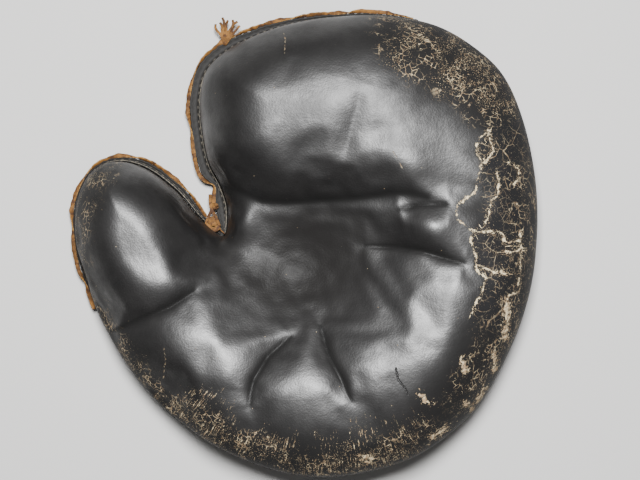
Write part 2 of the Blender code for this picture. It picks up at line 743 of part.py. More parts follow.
def make_trims():
    """The leather under the thumb's padding, and the binding along the wrist opening's edge."""
    knuckle = Vector(THUMB_WAY[1]).lerp(Vector(THUMB_WAY[2]), 0.3)
    plan = capsule(knuckle, THUMB_WAY[2], THUMB_WAY_R - GAP)
    thumb = prism(plan, THUMB_STALL["roof"] + 0.5, THUMB_ROOF - 0.8)
    add_object("thumb_lining", mesh_from(thumb), "lining leather")

    def binding_section(u):
        top = rim_height(u) - 0.6
        return [(-6.6, top), (-6.6, top - 2.4), (-9.8, top - 2.4), (-9.8, top)]

    swept_strip("wrist_binding", "back leather", 21.5, 23.7, binding_section)


RIVETS = {
    "strap_rivet_upper": (69.5, -74.2),
    "strap_rivet_lower": (72.6, -83.4),
    "chape_rivet": (-73.0, -83.0),
}
RIVET_R, RIVET_HEAD_R, RIVET_HEAD = 1.05, 3.0, 2.0


def strap_place():
    """Moves a piece drawn along +X from the strap's hinge line to its place on the back."""
    return Matrix.Translation((*STRAP_ROOT, STRAP_Z)) @ Matrix.Rotation(STRAP_TURN, 4, "Z")


def make_strap():
    half, thick = STRAP_WIDE / 2, STRAP_THICK
    tip = [(STRAP_GAP, -half), (STRAP_LONG - 11, -half), (STRAP_LONG - 3, -half * 0.55), (STRAP_LONG, 0)]
    plan = [*tip, (STRAP_LONG - 3, half * 0.55), (STRAP_LONG - 11, half), (STRAP_GAP, half)]
    mesh = mesh_from(prism(plan, -thick / 2, thick / 2))
    mesh.transform(strap_place())
    strap = add_object("wrist_strap", mesh, "back leather")
    for k in range(5):
        x = STRAP_LONG - 20 - 9.0 * k
        hole = mesh_from(rod(1.5, (x, 0, -6), (x, 0, 6), 12))
        hole.transform(strap_place())
        boolean(strap, "DIFFERENCE", add_object(f"cut_strap_hole_{k}", hole))
    near = -STRAP_GAP - 0.5
    root_plan = [(near, -half), (near, half), (-16, half), (-18, half - 3), (-18, -half + 3), (-16, -half)]
    wide = half + 3
    patch_plan = [(near, -wide), (near, wide), (-18, wide), (-22, half), (-22, -half), (-18, -wide)]
    rivet_holes = [bpy.data.objects["cut_rivet_0"], bpy.data.objects["cut_rivet_1"]]
    for name, plan, low, high in (
        ("strap_root", root_plan, -thick / 2, thick / 2),
        ("strap_patch", patch_plan, thick / 2 + 0.4, BACK_UNDER - STRAP_Z - 0.4),
    ):
        mesh = mesh_from(prism(plan[::-1], low, high))
        mesh.transform(strap_place())
        boolean(add_object(name, mesh, "back leather"), "DIFFERENCE", *rivet_holes)
    keeper_box = box_mesh((16, -half - 1.8, -2.6), (24, half + 1.8, 2.6), 0.5, 1)
    keeper_box.transform(strap_place())
    keeper = add_object("strap_keeper", keeper_box, "back leather")
    space = box_mesh((10, -half - 0.5, -1.4), (30, half + 0.5, 1.4))
    space.transform(strap_place())
    boolean(keeper, "DIFFERENCE", add_object("cut_keeper", space))


def make_rivet(name, x, y):
    """A domed head that the mitt rests on, a shank through the leather and a washer on the inside."""
    washer_low = BACK_TOP + 0.05
    shank = mesh_from(rod(RIVET_R, (x, y, 0.6), (x, y, washer_low + 0.5), 12))
    rivet = add_object(name, shank, "brass", smooth=True)
    head = mesh_from(rod(RIVET_HEAD_R, (x, y, 0.0), (x, y, RIVET_HEAD), 16))
    washer = mesh_from(rod(2.4, (x, y, washer_low), (x, y, washer_low + 0.8), 16))
    boolean(rivet, "UNION", add_object(f"join_{name}_head", head), add_object(f"join_{name}_washer", washer))


def rounded_rectangle(half_long, half_wide, corner):
    points = []
    for sx, sy, start in ((1, 1, 0), (-1, 1, 90), (-1, -1, 180), (1, -1, 270)):
        for k in range(4):
            angle = math.radians(start + 30 * k)
            x = sx * (half_long - corner) + corner * math.cos(angle)
            points.append((x, sy * (half_wide - corner) + corner * math.sin(angle)))
    return points


def side_prism(profile, half):
    """A prism over a profile in X and Z, from half to the left of the buckle's middle to half to the right."""
    bm = bmesh.new()
    near = [bm.verts.new((x, BAR.y - half, z)) for x, z in profile]
    away = [bm.verts.new((x, BAR.y + half, z)) for x, z in profile]
    bm.faces.new(near)
    bm.faces.new(away[::-1])
    for i in range(len(profile)):
        j = (i + 1) % len(profile)
        bm.faces.new((near[i], near[j], away[j], away[i]))
    return mesh_from(bm)


def bar_hole(name, radius, half):
    """A cutter along the buckle's bar."""
    return add_object(name, mesh_from(rod(radius, BAR - Vector((0, half, 0)), BAR + Vector((0, half, 0)))))


def make_buckle_frame():
    centre = BAR + Vector((FRAME_LONG / 2, 0, 0))
    path = rounded_rectangle(FRAME_LONG / 2, FRAME_WIDE / 2, FRAME_CORNER)
    bm = bmesh.new()
    rings = []
    for i, (x, y) in enumerate(path):
        before, after = Vector(path[i - 1]), Vector(path[(i + 1) % len(path)])
        step = (after - before).normalized()
        out, up = Vector((step.y, -step.x, 0)), Vector((0, 0, 1))
        around = [2 * math.pi * k / 10 for k in range(10)]
        ring = [centre + Vector((x, y, 0)) + (out * math.cos(t) + up * math.sin(t)) * WIRE_R for t in around]
        rings.append([bm.verts.new(point) for point in ring])
    bridge(bm, rings, closed=True)
    add_object("buckle_frame", mesh_from(bm), "nickelled steel", smooth=True)


def make_roller():
    far, reach = BAR + Vector((FRAME_LONG, 0, 0)), FRAME_WIDE / 2 - FRAME_CORNER - 0.6
    half, long = Vector((0, reach, 0)), Vector((0, 20, 0))
    roller = add_object(
        "buckle_roller", mesh_from(rod(ROLLER_R, far - half, far + half)), "nickelled steel", smooth=True
    )
    bore = mesh_from(rod(WIRE_R + 0.4, far - long, far + long))
    boolean(roller, "DIFFERENCE", add_object("cut_roller", bore))


def make_prong():
    far, arm_z = BAR.x + FRAME_LONG, BAR.z - ROLLER_R - 0.8
    side = [
        (BAR.x - 2.6, BAR.z), (BAR.x - 1.9, BAR.z - 1.9), (BAR.x, BAR.z - 2.5), (far - 4, arm_z - 0.35),
        (far + 2.2, arm_z - 0.35), (far + 2.6, arm_z + 0.25), (far - 4, arm_z + 0.45),
        (BAR.x + 2.6, BAR.z - 0.2), (BAR.x + 1.9, BAR.z + 1.9), (BAR.x, BAR.z + 2.5), (BAR.x - 1.9, BAR.z + 1.9),
    ]
    prong = add_object("buckle_prong", side_prism(side, 1.2), "nickelled steel")
    boolean(prong, "DIFFERENCE", bar_hole("cut_prong_eye", BAR_BORE, 6))


def make_chape():
    """The leather that wraps the buckle's bar and is riveted to the back."""
    turns = [math.radians(100 - 25 * k) for k in range(9)]
    profile = [(BAR.x + CHAPE_R * math.cos(t), BAR.z + CHAPE_R * math.sin(t)) for t in turns]
    tail = BAR.x - CHAPE_LONG
    profile += [(BAR.x - 8, BAR.z - 0.6), (tail, BAR.z - 0.6), (tail, BAR.z + 2.6), (BAR.x - 6, BAR.z + 2.7)]
    chape = add_object("buckle_chape", side_prism(profile, 8), "back leather")
    slot = box_mesh((BAR.x - 7.3, BAR.y - 1.7, -5), (BAR.x + 6, BAR.y + 1.7, 10))
    hole = bar_hole("cut_chape_bar", BAR_BORE, 20)
    boolean(chape, "DIFFERENCE", hole, add_object("cut_chape_slot", slot), bpy.data.objects["cut_rivet_2"])


def add_pivot(name, place, pieces):
    """An empty on a joint's axis, which the moving pieces are parented to."""
    pivot = bpy.data.objects.new(name, None)
    pivot.empty_display_size = 0.02
    pivot.location = (Vector(place) + SHIFT) * MM
    bpy.context.scene.collection.objects.link(pivot)
    for piece in pieces:
        bpy.data.objects[piece].parent = pivot
    return pivot


def point_along(pivot, axis):
    """Turns an empty until its own Z runs along the joint's axis."""
    pivot.rotation_euler = Vector(axis).to_track_quat("Z", "Y").to_euler()


def keep_children(pivot):
    """Leaves the pieces of a pivot where they were drawn."""
    for piece in pivot.children:
        piece.matrix_parent_inverse = pivot.matrix_basis.inverted()


def main():
    for obj in list(bpy.data.objects):
        bpy.data.objects.remove(obj)
    make_face_and_pads()
    make_lining()
    make_back()
    make_stalls()
    make_seams()
    make_lace_tail()
    make_crotch_knot()
    make_trims()
    make_strap()
    make_buckle_frame()
    make_roller()
    make_prong()
    make_chape()
    for name, (x, y) in RIVETS.items():
        make_rivet(name, x, y)
    thumb = [obj.name for obj in bpy.data.objects if obj.name.startswith("thumb_")]
    thumb_pivot = add_pivot("thumb_pivot", (*FLEX_A, FLEX_Z), thumb)
    strap_pivot = add_pivot("strap_pivot", (*STRAP_ROOT, STRAP_Z), ["wrist_strap", "strap_keeper"])
    buckle_pivot = add_pivot("buckle_pivot", BAR, ["buckle_frame", "buckle_prong"])
    roller_pivot = add_pivot("roller_pivot", BAR + Vector((FRAME_LONG, 0, 0)), ["buckle_roller"])
    point_along(thumb_pivot, (*(FLEX_A - FLEX_B), 0))
    point_along(strap_pivot, (-math.sin(STRAP_TURN), math.cos(STRAP_TURN), 0))
    point_along(buckle_pivot, (0, 1, 0))
    point_along(roller_pivot, (0, 1, 0))
    for pivot in (thumb_pivot, strap_pivot, buckle_pivot, roller_pivot):
        keep_children(pivot)
    roller_pivot.parent = buckle_pivot
    roller_pivot.matrix_parent_inverse = buckle_pivot.matrix_basis.inverted()


main()
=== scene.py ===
"""The looks of the padded ball-catching mitt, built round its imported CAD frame.

Lengths are millimetres in the CAD model's drawing frame; place() carries them to the row frame, in metres.
Places along the mitt's edge are counted in spans of EDGE, clockwise from the crotch.
"""

import math
from functools import reduce

import bmesh
import bpy
import numpy as np
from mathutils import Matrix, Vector, noise
from mathutils.geometry import delaunay_2d_cdt
from mathutils.kdtree import KDTree


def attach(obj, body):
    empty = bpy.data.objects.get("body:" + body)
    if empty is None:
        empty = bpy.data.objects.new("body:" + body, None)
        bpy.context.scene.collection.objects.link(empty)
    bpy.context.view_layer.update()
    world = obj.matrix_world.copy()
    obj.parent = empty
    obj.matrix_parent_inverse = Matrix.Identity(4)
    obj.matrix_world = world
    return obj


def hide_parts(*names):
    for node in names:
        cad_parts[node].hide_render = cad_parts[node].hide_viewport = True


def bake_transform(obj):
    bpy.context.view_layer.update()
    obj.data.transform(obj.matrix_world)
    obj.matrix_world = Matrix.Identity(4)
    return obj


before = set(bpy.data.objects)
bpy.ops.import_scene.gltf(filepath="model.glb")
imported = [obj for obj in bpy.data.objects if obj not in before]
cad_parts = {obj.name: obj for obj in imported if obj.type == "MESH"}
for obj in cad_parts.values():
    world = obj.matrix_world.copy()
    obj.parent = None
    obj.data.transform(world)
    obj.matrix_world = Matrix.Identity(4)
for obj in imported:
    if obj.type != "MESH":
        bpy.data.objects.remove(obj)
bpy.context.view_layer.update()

MM = 0.001
SHIFT = np.array([0.3, -1.2, 0.0])

# ---------------------------------------------------------------- dimensions repeated from part.py

LEATHER = 2.2
BACK_UNDER, BACK_THICK = 7.0, 2.0
POCKET_FLOOR = 39.0

# Edge of the face leather, clockwise from the crotch between thumb and fingers
EDGE = np.array([
    (-47, 2), (-44.5, 19), (-49, 34), (-56, 48), (-60, 68), (-61, 87), (-57, 104), (-45, 116),
    (-28, 125), (-6, 132.4), (22, 136.8), (52, 137.5), (82, 131.5), (106, 117.5), (124.5, 99.5),
    (136.5, 72), (143.5, 38), (144.6, 4), (140, -32), (127.5, -68), (106, -104), (74, -128.5),
    (36, -140.8), (-1, -141.8), (-38.3, -130.5), (-70.5, -111.5), (-98.5, -85), (-118.5, -54.5), (-130.5, -27),
    (-138, 0), (-137, 24), (-128.5, 41), (-114, 48), (-96, 44), (-77, 30), (-62, 13),
], float)
SPANS = len(EDGE)
FINGER_SEAM, THUMB_SEAM = (0.05, 11.7), (27.35, 35.75)  # bound stretches, in spans of EDGE
FINGER_LACE, THUMB_LACE = (1.1, 11.6), (27.45, 35.1)  # laced stretches
WRIST_OPENING = (21.5, 23.7)  # the stretch whose edge the wrist's binding covers

FLEX_A = np.array([-46.0, 6.4])
FLEX_B = np.array([-119.0, -53.4])
FLEX_ALONG = (FLEX_A - FLEX_B) / np.linalg.norm(FLEX_A - FLEX_B)
FLEX_ACROSS = np.array([-FLEX_ALONG[1], FLEX_ALONG[0]])  # towards the thumb's tip

# Lobes of the padded rim: place and crown height
LOBES = [
    ((-104, 8), 56), ((-88, -62), 60), ((-18, 92), 62), ((75, 92), 65),
    ((108, 12), 68), ((100, -62), 75), ((28, -102), 73), ((-48, -88), 67),
]
LOBE_REACH = 55.0 * math.sqrt(2)
# The pocket, an oval bowl: its middle, its half sizes, and where its slope starts as a share of them
POCKET_AT, POCKET_SIZE, POCKET_FLAT = np.array([-2.0, -12.0]), np.array([98.0, 82.0]), 0.02
# Creases pressed into the padding: line, depth and half width
CREASES = [
    ([(-114, -56), (-98, -49.5), (-76, -40), (-63, -31)], 3.2, 3.2),
    ([(-5, -58), (-19, -71), (-26.5, -83), (-28.5, -90), (-29, -98)], 2.8, 2.6),
    ([(13, -52), (18.5, -70), (25.5, -83), (31, -95)], 2.6, 2.6),
    ([(40, -4), (57, -4.5), (73, -7), (97, -14)], 3.2, 3.0),
    ([(60, 17.5), (72, 20.5), (88, 21)], 1.8, 3.5),
    ([(38, 92), (31, 66), (27, 45)], 1.0, 8.0),
]
VALLEY, VALLEY_WIDER = 1.1, 4.2  # the shallow valley round each crease, as shares of its depth and half width
# Puffs: place, height and reach
PUFFS = [
    ((-39, 10), 9.0, 11.5), ((76, 6), 5.0, 13.0), ((-77, -28), 2.2, 12.0), ((22, 80), 1.6, 22.0),
    ((-23, 96), 0.9, 13.0), ((68, 42), 1.6, 12.0),
]
RUBBED_BUMP, RUBBED_REACH = (-33, 13), 17.0  # the side of the first puff that faces up and is polished bright by wear
# The fold under the finger lobe, whose upper side hangs over it
FOLD = [(-52, 35), (-45, 31), (-33, 27.5), (-22, 23), (-8, 22), (34, 24.5), (55, 27), (66, 27.5), (76, 25)]
FOLD_LIFT, FOLD_NEAR, FOLD_FAR = 4.5, 27.0, 60.0
FOLD_DEPTH, FOLD_HALF, FOLD_LOWER = 3.6, 4.5, 13.0  # depth, and width above and below the line


def place(points):
    """Drawing-frame millimetres to row-frame metres."""
    return (np.asarray(points, float) + SHIFT) * MM


def add_piece(name, points, faces, finish=None):
    """A smooth-shaded object from drawing-frame points, with its normals outwards."""
    mesh = bpy.data.meshes.new(name)
    mesh.from_pydata([tuple(p) for p in place(points)], [], faces)
    bm = bmesh.new()
    bm.from_mesh(mesh)
    bmesh.ops.recalc_face_normals(bm, faces=bm.faces)
    if all(not edge.is_boundary for edge in bm.edges):
        if bm.calc_volume(signed=True) < 0:
            bmesh.ops.reverse_faces(bm, faces=bm.faces)
    elif sum(face.normal.z for face in bm.faces) < 0:
        bmesh.ops.reverse_faces(bm, faces=bm.faces)
    bm.to_mesh(mesh)
    bm.free()
    mesh.shade_smooth()
    set_attribute(mesh, "rest", points)
    if finish:
        mesh.materials.append(finish)
    obj = bpy.data.objects.new(name, mesh)
    bpy.context.scene.collection.objects.link(obj)
    return obj


def set_attribute(mesh, name, values):
    """Stores a number or a vector at each vertex, for the materials to read."""
    values = np.asarray(values, np.float32)
    if values.ndim == 1:
        mesh.attributes.new(name, "FLOAT", "POINT").data.foreach_set("value", values)
    else:
        mesh.attributes.new(name, "FLOAT_VECTOR", "POINT").data.foreach_set("vector", values.ravel())


def settle(piece, body, slot, *nodes):
    """Fixes a piece to a body of the mitt, with the CAD nodes that it replaces. slot, its material slot, is
    not used.
    """
    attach(piece, body)
    if nodes:
        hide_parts(*nodes)


# ---------------------------------------------------------------- curves, falloffs and outlines


def smooth_step(x, low, high):
    t = np.clip((np.asarray(x, float) - low) / (high - low), 0, 1)
    return t * t * (3 - 2 * t)


def falloff(away, width):
    """1 at no distance, next to nothing two widths away."""
    return np.exp(-((away / width) ** 2))


def mound(points, spot, reach):
    """A round falloff about a plan point."""
    return np.exp(-((points - np.array(spot)) ** 2).sum(1) / reach**2)


def smooth_noise(*places):
    """Noise between about -1 and 1 at each place, given as three coordinates that may be lists."""
    return np.array([noise.noise(Vector(p)) for p in np.broadcast(*places)])


def between(a, b, c, d, t):
    """A smooth curve's point a share t of the way from b to c, with a and d its neighbours."""
    return 0.5 * (2 * b + (c - a) * t + (2 * a - 5 * b + 4 * c - d) * t**2 + (3 * b - a - 3 * c + d) * t**3)


def run_along(path):
    """How far along a path each of its points is."""
    return np.concatenate([[0], np.cumsum(np.linalg.norm(np.diff(path, axis=0), axis=1))])


def points_at(path, run, places):
    """A path's points at the given distances along it."""
    return np.column_stack([np.interp(places, run, axis) for axis in path.T])


def full_turn(count):
    return np.linspace(0, 2 * math.pi, count, endpoint=False)


def squared(around, x_power, y_power):
    """A rounded rectangle with half sizes of 1; the lower the powers, the squarer its corners."""
    x, y = np.cos(around), np.sin(around)
    return np.sign(x) * np.abs(x) ** x_power, np.sign(y) * np.abs(y) ** y_power


def turned_by(angle):
    """The matrix that turns rows of plan points by an angle."""
    return np.array([[math.cos(angle), math.sin(angle)], [-math.sin(angle), math.cos(angle)]])


def raised(plan, height):
    """Plan points at a height, one for all or one for each."""
    return np.column_stack([plan, np.broadcast_to(height, len(plan))])


def point_tree(points):
    """A tree that finds the nearest of the points."""
    tree = KDTree(len(points))
    for index, point in enumerate(points):
        tree.insert(point, index)
    tree.balance()
    return tree


def within(points, loops):
    """True for plan points inside the outlines, by counting crossings of all of them."""
    x, y = points[:, :1], points[:, 1:]
    inside = np.zeros(len(points), int)
    for loop in loops:
        (x0, y0), (x1, y1) = loop.T, np.roll(loop, -1, axis=0).T
        rise = np.where(y1 == y0, 1e-9, y1 - y0)
        inside += (((y0 > y) != (y1 > y)) & (x < (x1 - x0) * (y - y0) / rise + x0)).sum(axis=1)
    return inside % 2 == 1


ROW_STEP = 0.866  # distance between the rows of a staggered grid, as a share of its step


def staggered(low, high, grid):
    """Plan points a grid step apart over a rectangle, in rows that are shifted by half a step in turn."""
    xs, ys = np.arange(low[0], high[0], grid), np.arange(low[1], high[1], grid * ROW_STEP)
    return np.array([(x + (row % 2) * grid / 2, y) for row, y in enumerate(ys) for x in xs])


# ---------------------------------------------------------------- the edge of the face leather


def edge_point(u):
    """Points of the closed edge at u spans from the crotch, on a smooth curve through EDGE."""
    u = np.asarray(u, float)
    i = np.floor(u).astype(int)
    return between(*(EDGE[(i + k) % SPANS] for k in (-1, 0, 1, 2)), (u - i)[..., None])


def inward(u):
    """Unit normals that point into the mitt."""
    step = edge_point(np.asarray(u) + 0.02) - edge_point(np.asarray(u) - 0.02)
    turned = np.stack([step[..., 1], -step[..., 0]], axis=-1)
    return turned / np.linalg.norm(turned, axis=-1, keepdims=True)


def inset(u, distance):
    return edge_point(u) + inward(u) * np.asarray(distance, float)[..., None]


def wrapped(u):
    """0 where the seam shows at the mitt's edge, 1 where the leather wraps round to the back."""
    u = np.mod(u, SPANS)
    return smooth_step(u, 11.2, 13.2) * (1 - smooth_step(u, 26.4, 27.6))


def wrist(u):
    """1 along the stretch of the heel that the wrist passes under."""
    u = np.mod(u, SPANS)
    return smooth_step(u, 20.0, 21.3) * (1 - smooth_step(u, 24.4, 25.6))


def rim_inset(u):
    return 9.0 * wrapped(u)


def rim_height(u):
    return BACK_UNDER + 23.0 * wrist(u)


def equator_height(u):
    return 15.0 + 13.0 * wrapped(u) + 14.0 * wrist(u)


FINE_STEP = 0.1
FINE = np.arange(0, SPANS, FINE_STEP)
FINE_POINTS = edge_point(FINE)


def from_edge(points, batch=6000):
    """For each plan point, its distance inside the edge and the nearest place on it, in spans."""
    points = np.asarray(points, float).reshape(-1, 2)
    run = np.roll(FINE_POINTS, -1, axis=0) - FINE_POINTS
    long = (run * run).sum(1)
    depth, near = np.empty(len(points)), np.empty(len(points))
    for start in range(0, len(points), batch):
        some = points[start:start + batch]
        gap = some[:, None] - FINE_POINTS
        t = np.clip((gap * run).sum(2) / long, 0, 1)
        away = ((gap - t[..., None] * run) ** 2).sum(2)
        nearest = away.argmin(axis=1)
        rows = np.arange(len(some))
        depth[start:start + batch] = np.sqrt(away[rows, nearest])
        near[start:start + batch] = FINE[nearest] + FINE_STEP * t[rows, nearest]
    return depth, near


def from_line(points, line):
    """Distance of each plan point from a line, how far along it the nearest place is, from 0 to 1, and the
    distance again with a sign: positive on the line's left."""
    points = np.asarray(points, float).reshape(-1, 2)
    line = np.asarray(line, float)
    best, signed, spot = np.full(len(points), np.inf), np.zeros(len(points)), np.zeros(len(points))
    lengths = np.linalg.norm(np.diff(line, axis=0), axis=1)
    so_far = 0.0
    for a, b, length in zip(line[:-1], line[1:], lengths):
        run = (b - a) / length
        reach = (points - a) @ run
        t = np.clip(reach / length, 0, 1)
        gap = points - a - (t * length)[:, None] * run
        away = np.linalg.norm(gap, axis=1)
        nearer = away < best
        left = run[0] * (points - a)[:, 1] - run[1] * (points - a)[:, 0]
        best = np.where(nearer, away, best)
        signed = np.where(nearer, np.where(left >= 0, away, -away), signed)
        spot = np.where(nearer, (so_far + t * length) / lengths.sum(), spot)
        so_far += length
    return best, spot, signed


# ---------------------------------------------------------------- the moulded face


def crown_height(points):
    """Height of the padded rim, smoothed between the lobes."""
    total, weight = np.zeros(len(points)), np.full(len(points), 1e-9)
    for spot, height in LOBES:
        share = mound(points, spot, LOBE_REACH)
        total += share * height
        weight += share
    return total / weight


def end_taper(spot):
    """Fades a crease in and out along its line."""
    return smooth_step(spot, -0.2, 0.3) * (1 - smooth_step(spot, 0.7, 1.2))


def pocket_rise(points):
    """0 on the pocket's floor, 1 on the crest of the rim round it."""
    return smooth_step(np.linalg.norm((points - POCKET_AT) / POCKET_SIZE, axis=1), POCKET_FLAT, 1.0)


DOME_REACH, DOME_WRAPPED, DOME_THUMB = 42.0, 8.0, -10.0  # how far in from the edge the leather is still rising


def face_height(points):
    """Height of the outer face of the palm leather over plan points."""
    points = np.asarray(points, float).reshape(-1, 2)
    depth, near = from_edge(points)
    rim = pocket_rise(points)
    top = POCKET_FLOOR + (crown_height(points) - POCKET_FLOOR) * rim
    round_thumb = smooth_step(near, 27.0, 28.5) * (1 - smooth_step(near, 34.5, 35.8))
    reach = DOME_REACH + DOME_WRAPPED * wrapped(near) + DOME_THUMB * round_thumb
    dome = np.sqrt(1 - (1 - np.minimum(depth / reach, 1)) ** 2)
    lift = np.zeros(len(points))
    for spot, height, reach in PUFFS:
        lift += height * mound(points, spot, reach)
    for line, deep, half_width in CREASES:
        away, spot, _ = from_line(points, line)
        groove = np.exp(-away / half_width) + VALLEY * falloff(away, VALLEY_WIDER * half_width)
        lift -= deep * end_taper(spot) * groove
    away, _, signed = from_line(points, FOLD)
    above = np.maximum(signed, 0)
    ends = smooth_step(points[:, 0], -60, -35) * (1 - smooth_step(points[:, 0], 48, 86))
    lift += FOLD_LIFT * ends * smooth_step(above, 0, FOLD_NEAR) * falloff(above, FOLD_FAR)
    lift -= FOLD_DEPTH * ends * np.exp(-away / np.where(signed > 0, FOLD_HALF, FOLD_LOWER))
    base = equator_height(near)
    return base + (top + lift - base) * dome


RING_DEPTH, RING_ROUND = 8.0, 40.0  # how far in the mesh follows the edge in rings, and their curve
LIP = 1.6  # height of the turned-in lip


def face_grid(per_span, walls, rings, grid):
    """Vertices and faces of the leather's outer face, from its turned-in lip over the rim into the pocket."""
    places = np.arange(SPANS * per_span) / per_span
    count = len(places)
    ri, rh, eh = rim_inset(places), rim_height(places), equator_height(places)
    layers = [(ri + LEATHER, rh + LIP), (ri + LEATHER, rh)]
    for angle in np.linspace(math.pi / 2, 0, walls):
        layers.append((ri * (1 - math.cos(angle)), eh - (eh - rh) * math.sin(angle)))
    vertices = [np.column_stack([inset(places, away), height]) for away, height in layers]
    top_angle = math.acos(1 - RING_DEPTH / RING_ROUND)
    for k in range(1, rings + 1):
        plan = inset(places, np.full(count, RING_ROUND * (1 - math.cos(top_angle * k / rings))))
        vertices.append(raised(plan, face_height(plan)))
    middle = staggered((-150, -150), (150, 150), grid)
    middle = middle[within(middle, [FINE_POINTS])]
    middle = middle[from_edge(middle)[0] > RING_DEPTH + 0.6 * grid]
    loop = [list(range(count - 1, -1, -1))]
    plan = [Vector(p) for p in np.vstack([vertices[-1][:, :2], middle])]
    points, _, inner, origins, _, _ = delaunay_2d_cdt(plan, [], loop, 1, 1e-5)
    offset = count * (len(vertices) - 1)
    total = count * len(vertices)
    index, extra = [], []
    for point, origin in zip(points, origins):
        if origin and origin[0] < count:
            index.append(offset + origin[0])
        else:
            index.append(total + len(extra))
            extra.append((point.x, point.y))
    extra = np.array(extra)
    vertices.append(raised(extra, face_height(extra)))
    faces = []
    for layer in range(len(vertices) - 2):
        low, high = layer * count, (layer + 1) * count
        for i in range(count):
            j = (i + 1) % count
            faces.append((low + i, low + j, high + j, high + i))
    for face in inner:
        faces.append(tuple(index[i] for i in face))
    return np.vstack(vertices), faces


SIM_FRAMES = 20
SIM_CAP = 5.0  # the furthest that the simulated leather may swell
PINNED_DEPTH, DARK_DEPTH = 2.0, 1.5  # the shallowest creases that hold the leather down and that look dark


def pin_weights(points, fixed):
    """1 where the leather is held: at its rim, in the creases and on the pocket's floor."""
    plan = points[:, :2]
    held = 0.7 * (1 - pocket_rise(plan))
    for line, deep, half_width in CREASES:
        if deep < PINNED_DEPTH:
            continue
        away, spot, _ = from_line(plan, line)
        held = np.maximum(held, end_taper(spot) * falloff(away, 1.3 * half_width))
    held = np.maximum(held, falloff(from_line(plan, FOLD)[0], 6.0))
    held[:fixed] = 1.0
    return held


def simulate_swell():
    """Blows the leather up over its padding by cloth simulation. Returns places and how far each moved."""
    per_span, walls, rings = 5, 4, 3
    points, faces = face_grid(per_span, walls, rings, 5.0)
    fixed = SPANS * per_span * (walls + 2)
    obj = add_piece("swell", points, faces)
    pins = obj.vertex_groups.new(name="pins")
    for index, weight in enumerate(pin_weights(points, fixed)):
        pins.add([index], float(weight), "REPLACE")
    cloth = obj.modifiers.new("cloth", "CLOTH").settings
    cloth.quality = 6
    cloth.mass = 0.3
    cloth.tension_stiffness = 25
    cloth.compression_stiffness = 25
    cloth.shear_stiffness = 12
    cloth.bending_stiffness = 2.0
    cloth.use_pressure = True
    cloth.uniform_pressure_force = 4
    cloth.shrink_min = -0.012
    cloth.effector_weights.gravity = 0
    cloth.vertex_group_mass = "pins"
    scene = bpy.context.scene
    for step in range(1, SIM_FRAMES + 1):
        scene.frame_set(step)
    swollen = obj.evaluated_get(bpy.context.evaluated_depsgraph_get())
    moved = np.array([v.co for v in swollen.data.vertices]) / MM - SHIFT - points
    far = np.linalg.norm(moved, axis=1, keepdims=True)
    moved *= SIM_CAP * np.tanh(far / SIM_CAP) / np.maximum(far, 1e-6)
    bpy.data.objects.remove(obj)
    scene.frame_set(1)
    return points, moved


def swell(vertices):
    """Carries the simulated swelling over to finer vertices, smoothing it between the samples."""
    samples, moved = simulate_swell()
    tree = point_tree(samples)
    out = vertices.copy()
    for row, point in enumerate(vertices):
        found = tree.find_n(point, 8)
        share = falloff(np.array([gap for _, _, gap in found]), 4.0) + 1e-9
        out[row] += share @ moved[[index for _, index, _ in found]] / share.sum()
    return out


# The long crack between the polished middle of the face and its cracked stretch
LONG_CRACK = [
    (113, 65), (107.5, 60), (105.5, 51), (109.5, 44.5), (106, 37), (105.5, 28), (94, 21), (94, 12), (103.5, 5),
    (102, -1), (105.5, -10), (103.5, -16), (110.5, -23), (108, -31), (105, -38), (102, -44),
]
# Border of the polished middle of the face; beyond it the leather is dry and dull
POLISHED = np.array([
    (-146, 176), (44.5, 176), (47, 127), (52, 108), (54, 91), (69, 77), (86, 74), (102, 68), *LONG_CRACK,
    (96, -62), (90, -73), (70, -91), (49, -103), (28, -115), (0, -113), (-22, -109), (-48, -103), (-66, -98),
    (-85, -85), (-99, -71), (-114, -54), (-124, -31), (-131, -7), (-129, 9), (-123, 21), (-116, 36),
    (-111, 48), (-111, 66),
], float)
# Worn stretches of the face near its edge: from and to in spans, how far in from the edge, and strength
WEAR = {
    "cracked": [(14.4, 19.3, 50, 1.0)],
    "flaked": [(11.3, 15.0, 46, 0.75), (14.5, 19.0, 40, 0.35), (18.6, 21.8, 34, 1.0), (28.5, 32.5, 22, 0.6)],
    "speckled": [(9.5, 15.5, 56, 1.0), (15.0, 21.0, 36, 0.6), (20.0, 28.5, 26, 0.9), (27.5, 33.5, 32, 1.0)],
    "scuffed": [(20.2, 26.2, 40, 1.0)],
}
# Single marks: the long cracks, pale scratches, a dark split and bare patches
MARKS = {
    "main_crack": [
        LONG_CRACK,
        [(113, 65), (115.5, 53), (111, 45.5)],
        [(118, 38.5), (119, 28), (114.5, 23), (113, 16), (111, 8.5)],
        [(103.5, 5), (120.7, 3.5), (122.4, -1.7), (132, -1), (133.5, 4.3)],
        [(121.5, -7.7), (133.5, -6), (132.3, -21.4), (131.8, -31), (124, -35), (124.6, -47)],
        [(107, -16), (114.7, -19.5), (125, -20.5)],
        [(125, 45.4), (131.8, 42.8), (132.7, 36.8), (130, 33.4)],
    ],
    "pale_scratch": [
        [(-80.5, -64), (-79.5, -72), (-81.5, -84)],
        [(-9.5, 128), (-8, 120), (-8.5, 111)],
        [(56, 52), (60, 46), (62, 40)],
    ],
    "split": [[(57.5, -76), (59, -83), (62.5, -87), (65, -92)]],
    "patches": [
        [(72, -92), (78, -97)], [(117, -69), (118, -79)], [(100, -98), (105, -103)], [(97, -72), (99, -78)],
        [(80, -119), (88, -113)], [(38, -130), (43, -131)], [(112, -90), (108, -97)],
        [(123.8, -38.4), (123.8, -58.6)],
    ],
}


SPAN_LONG = 25.0  # about how long a span of EDGE is


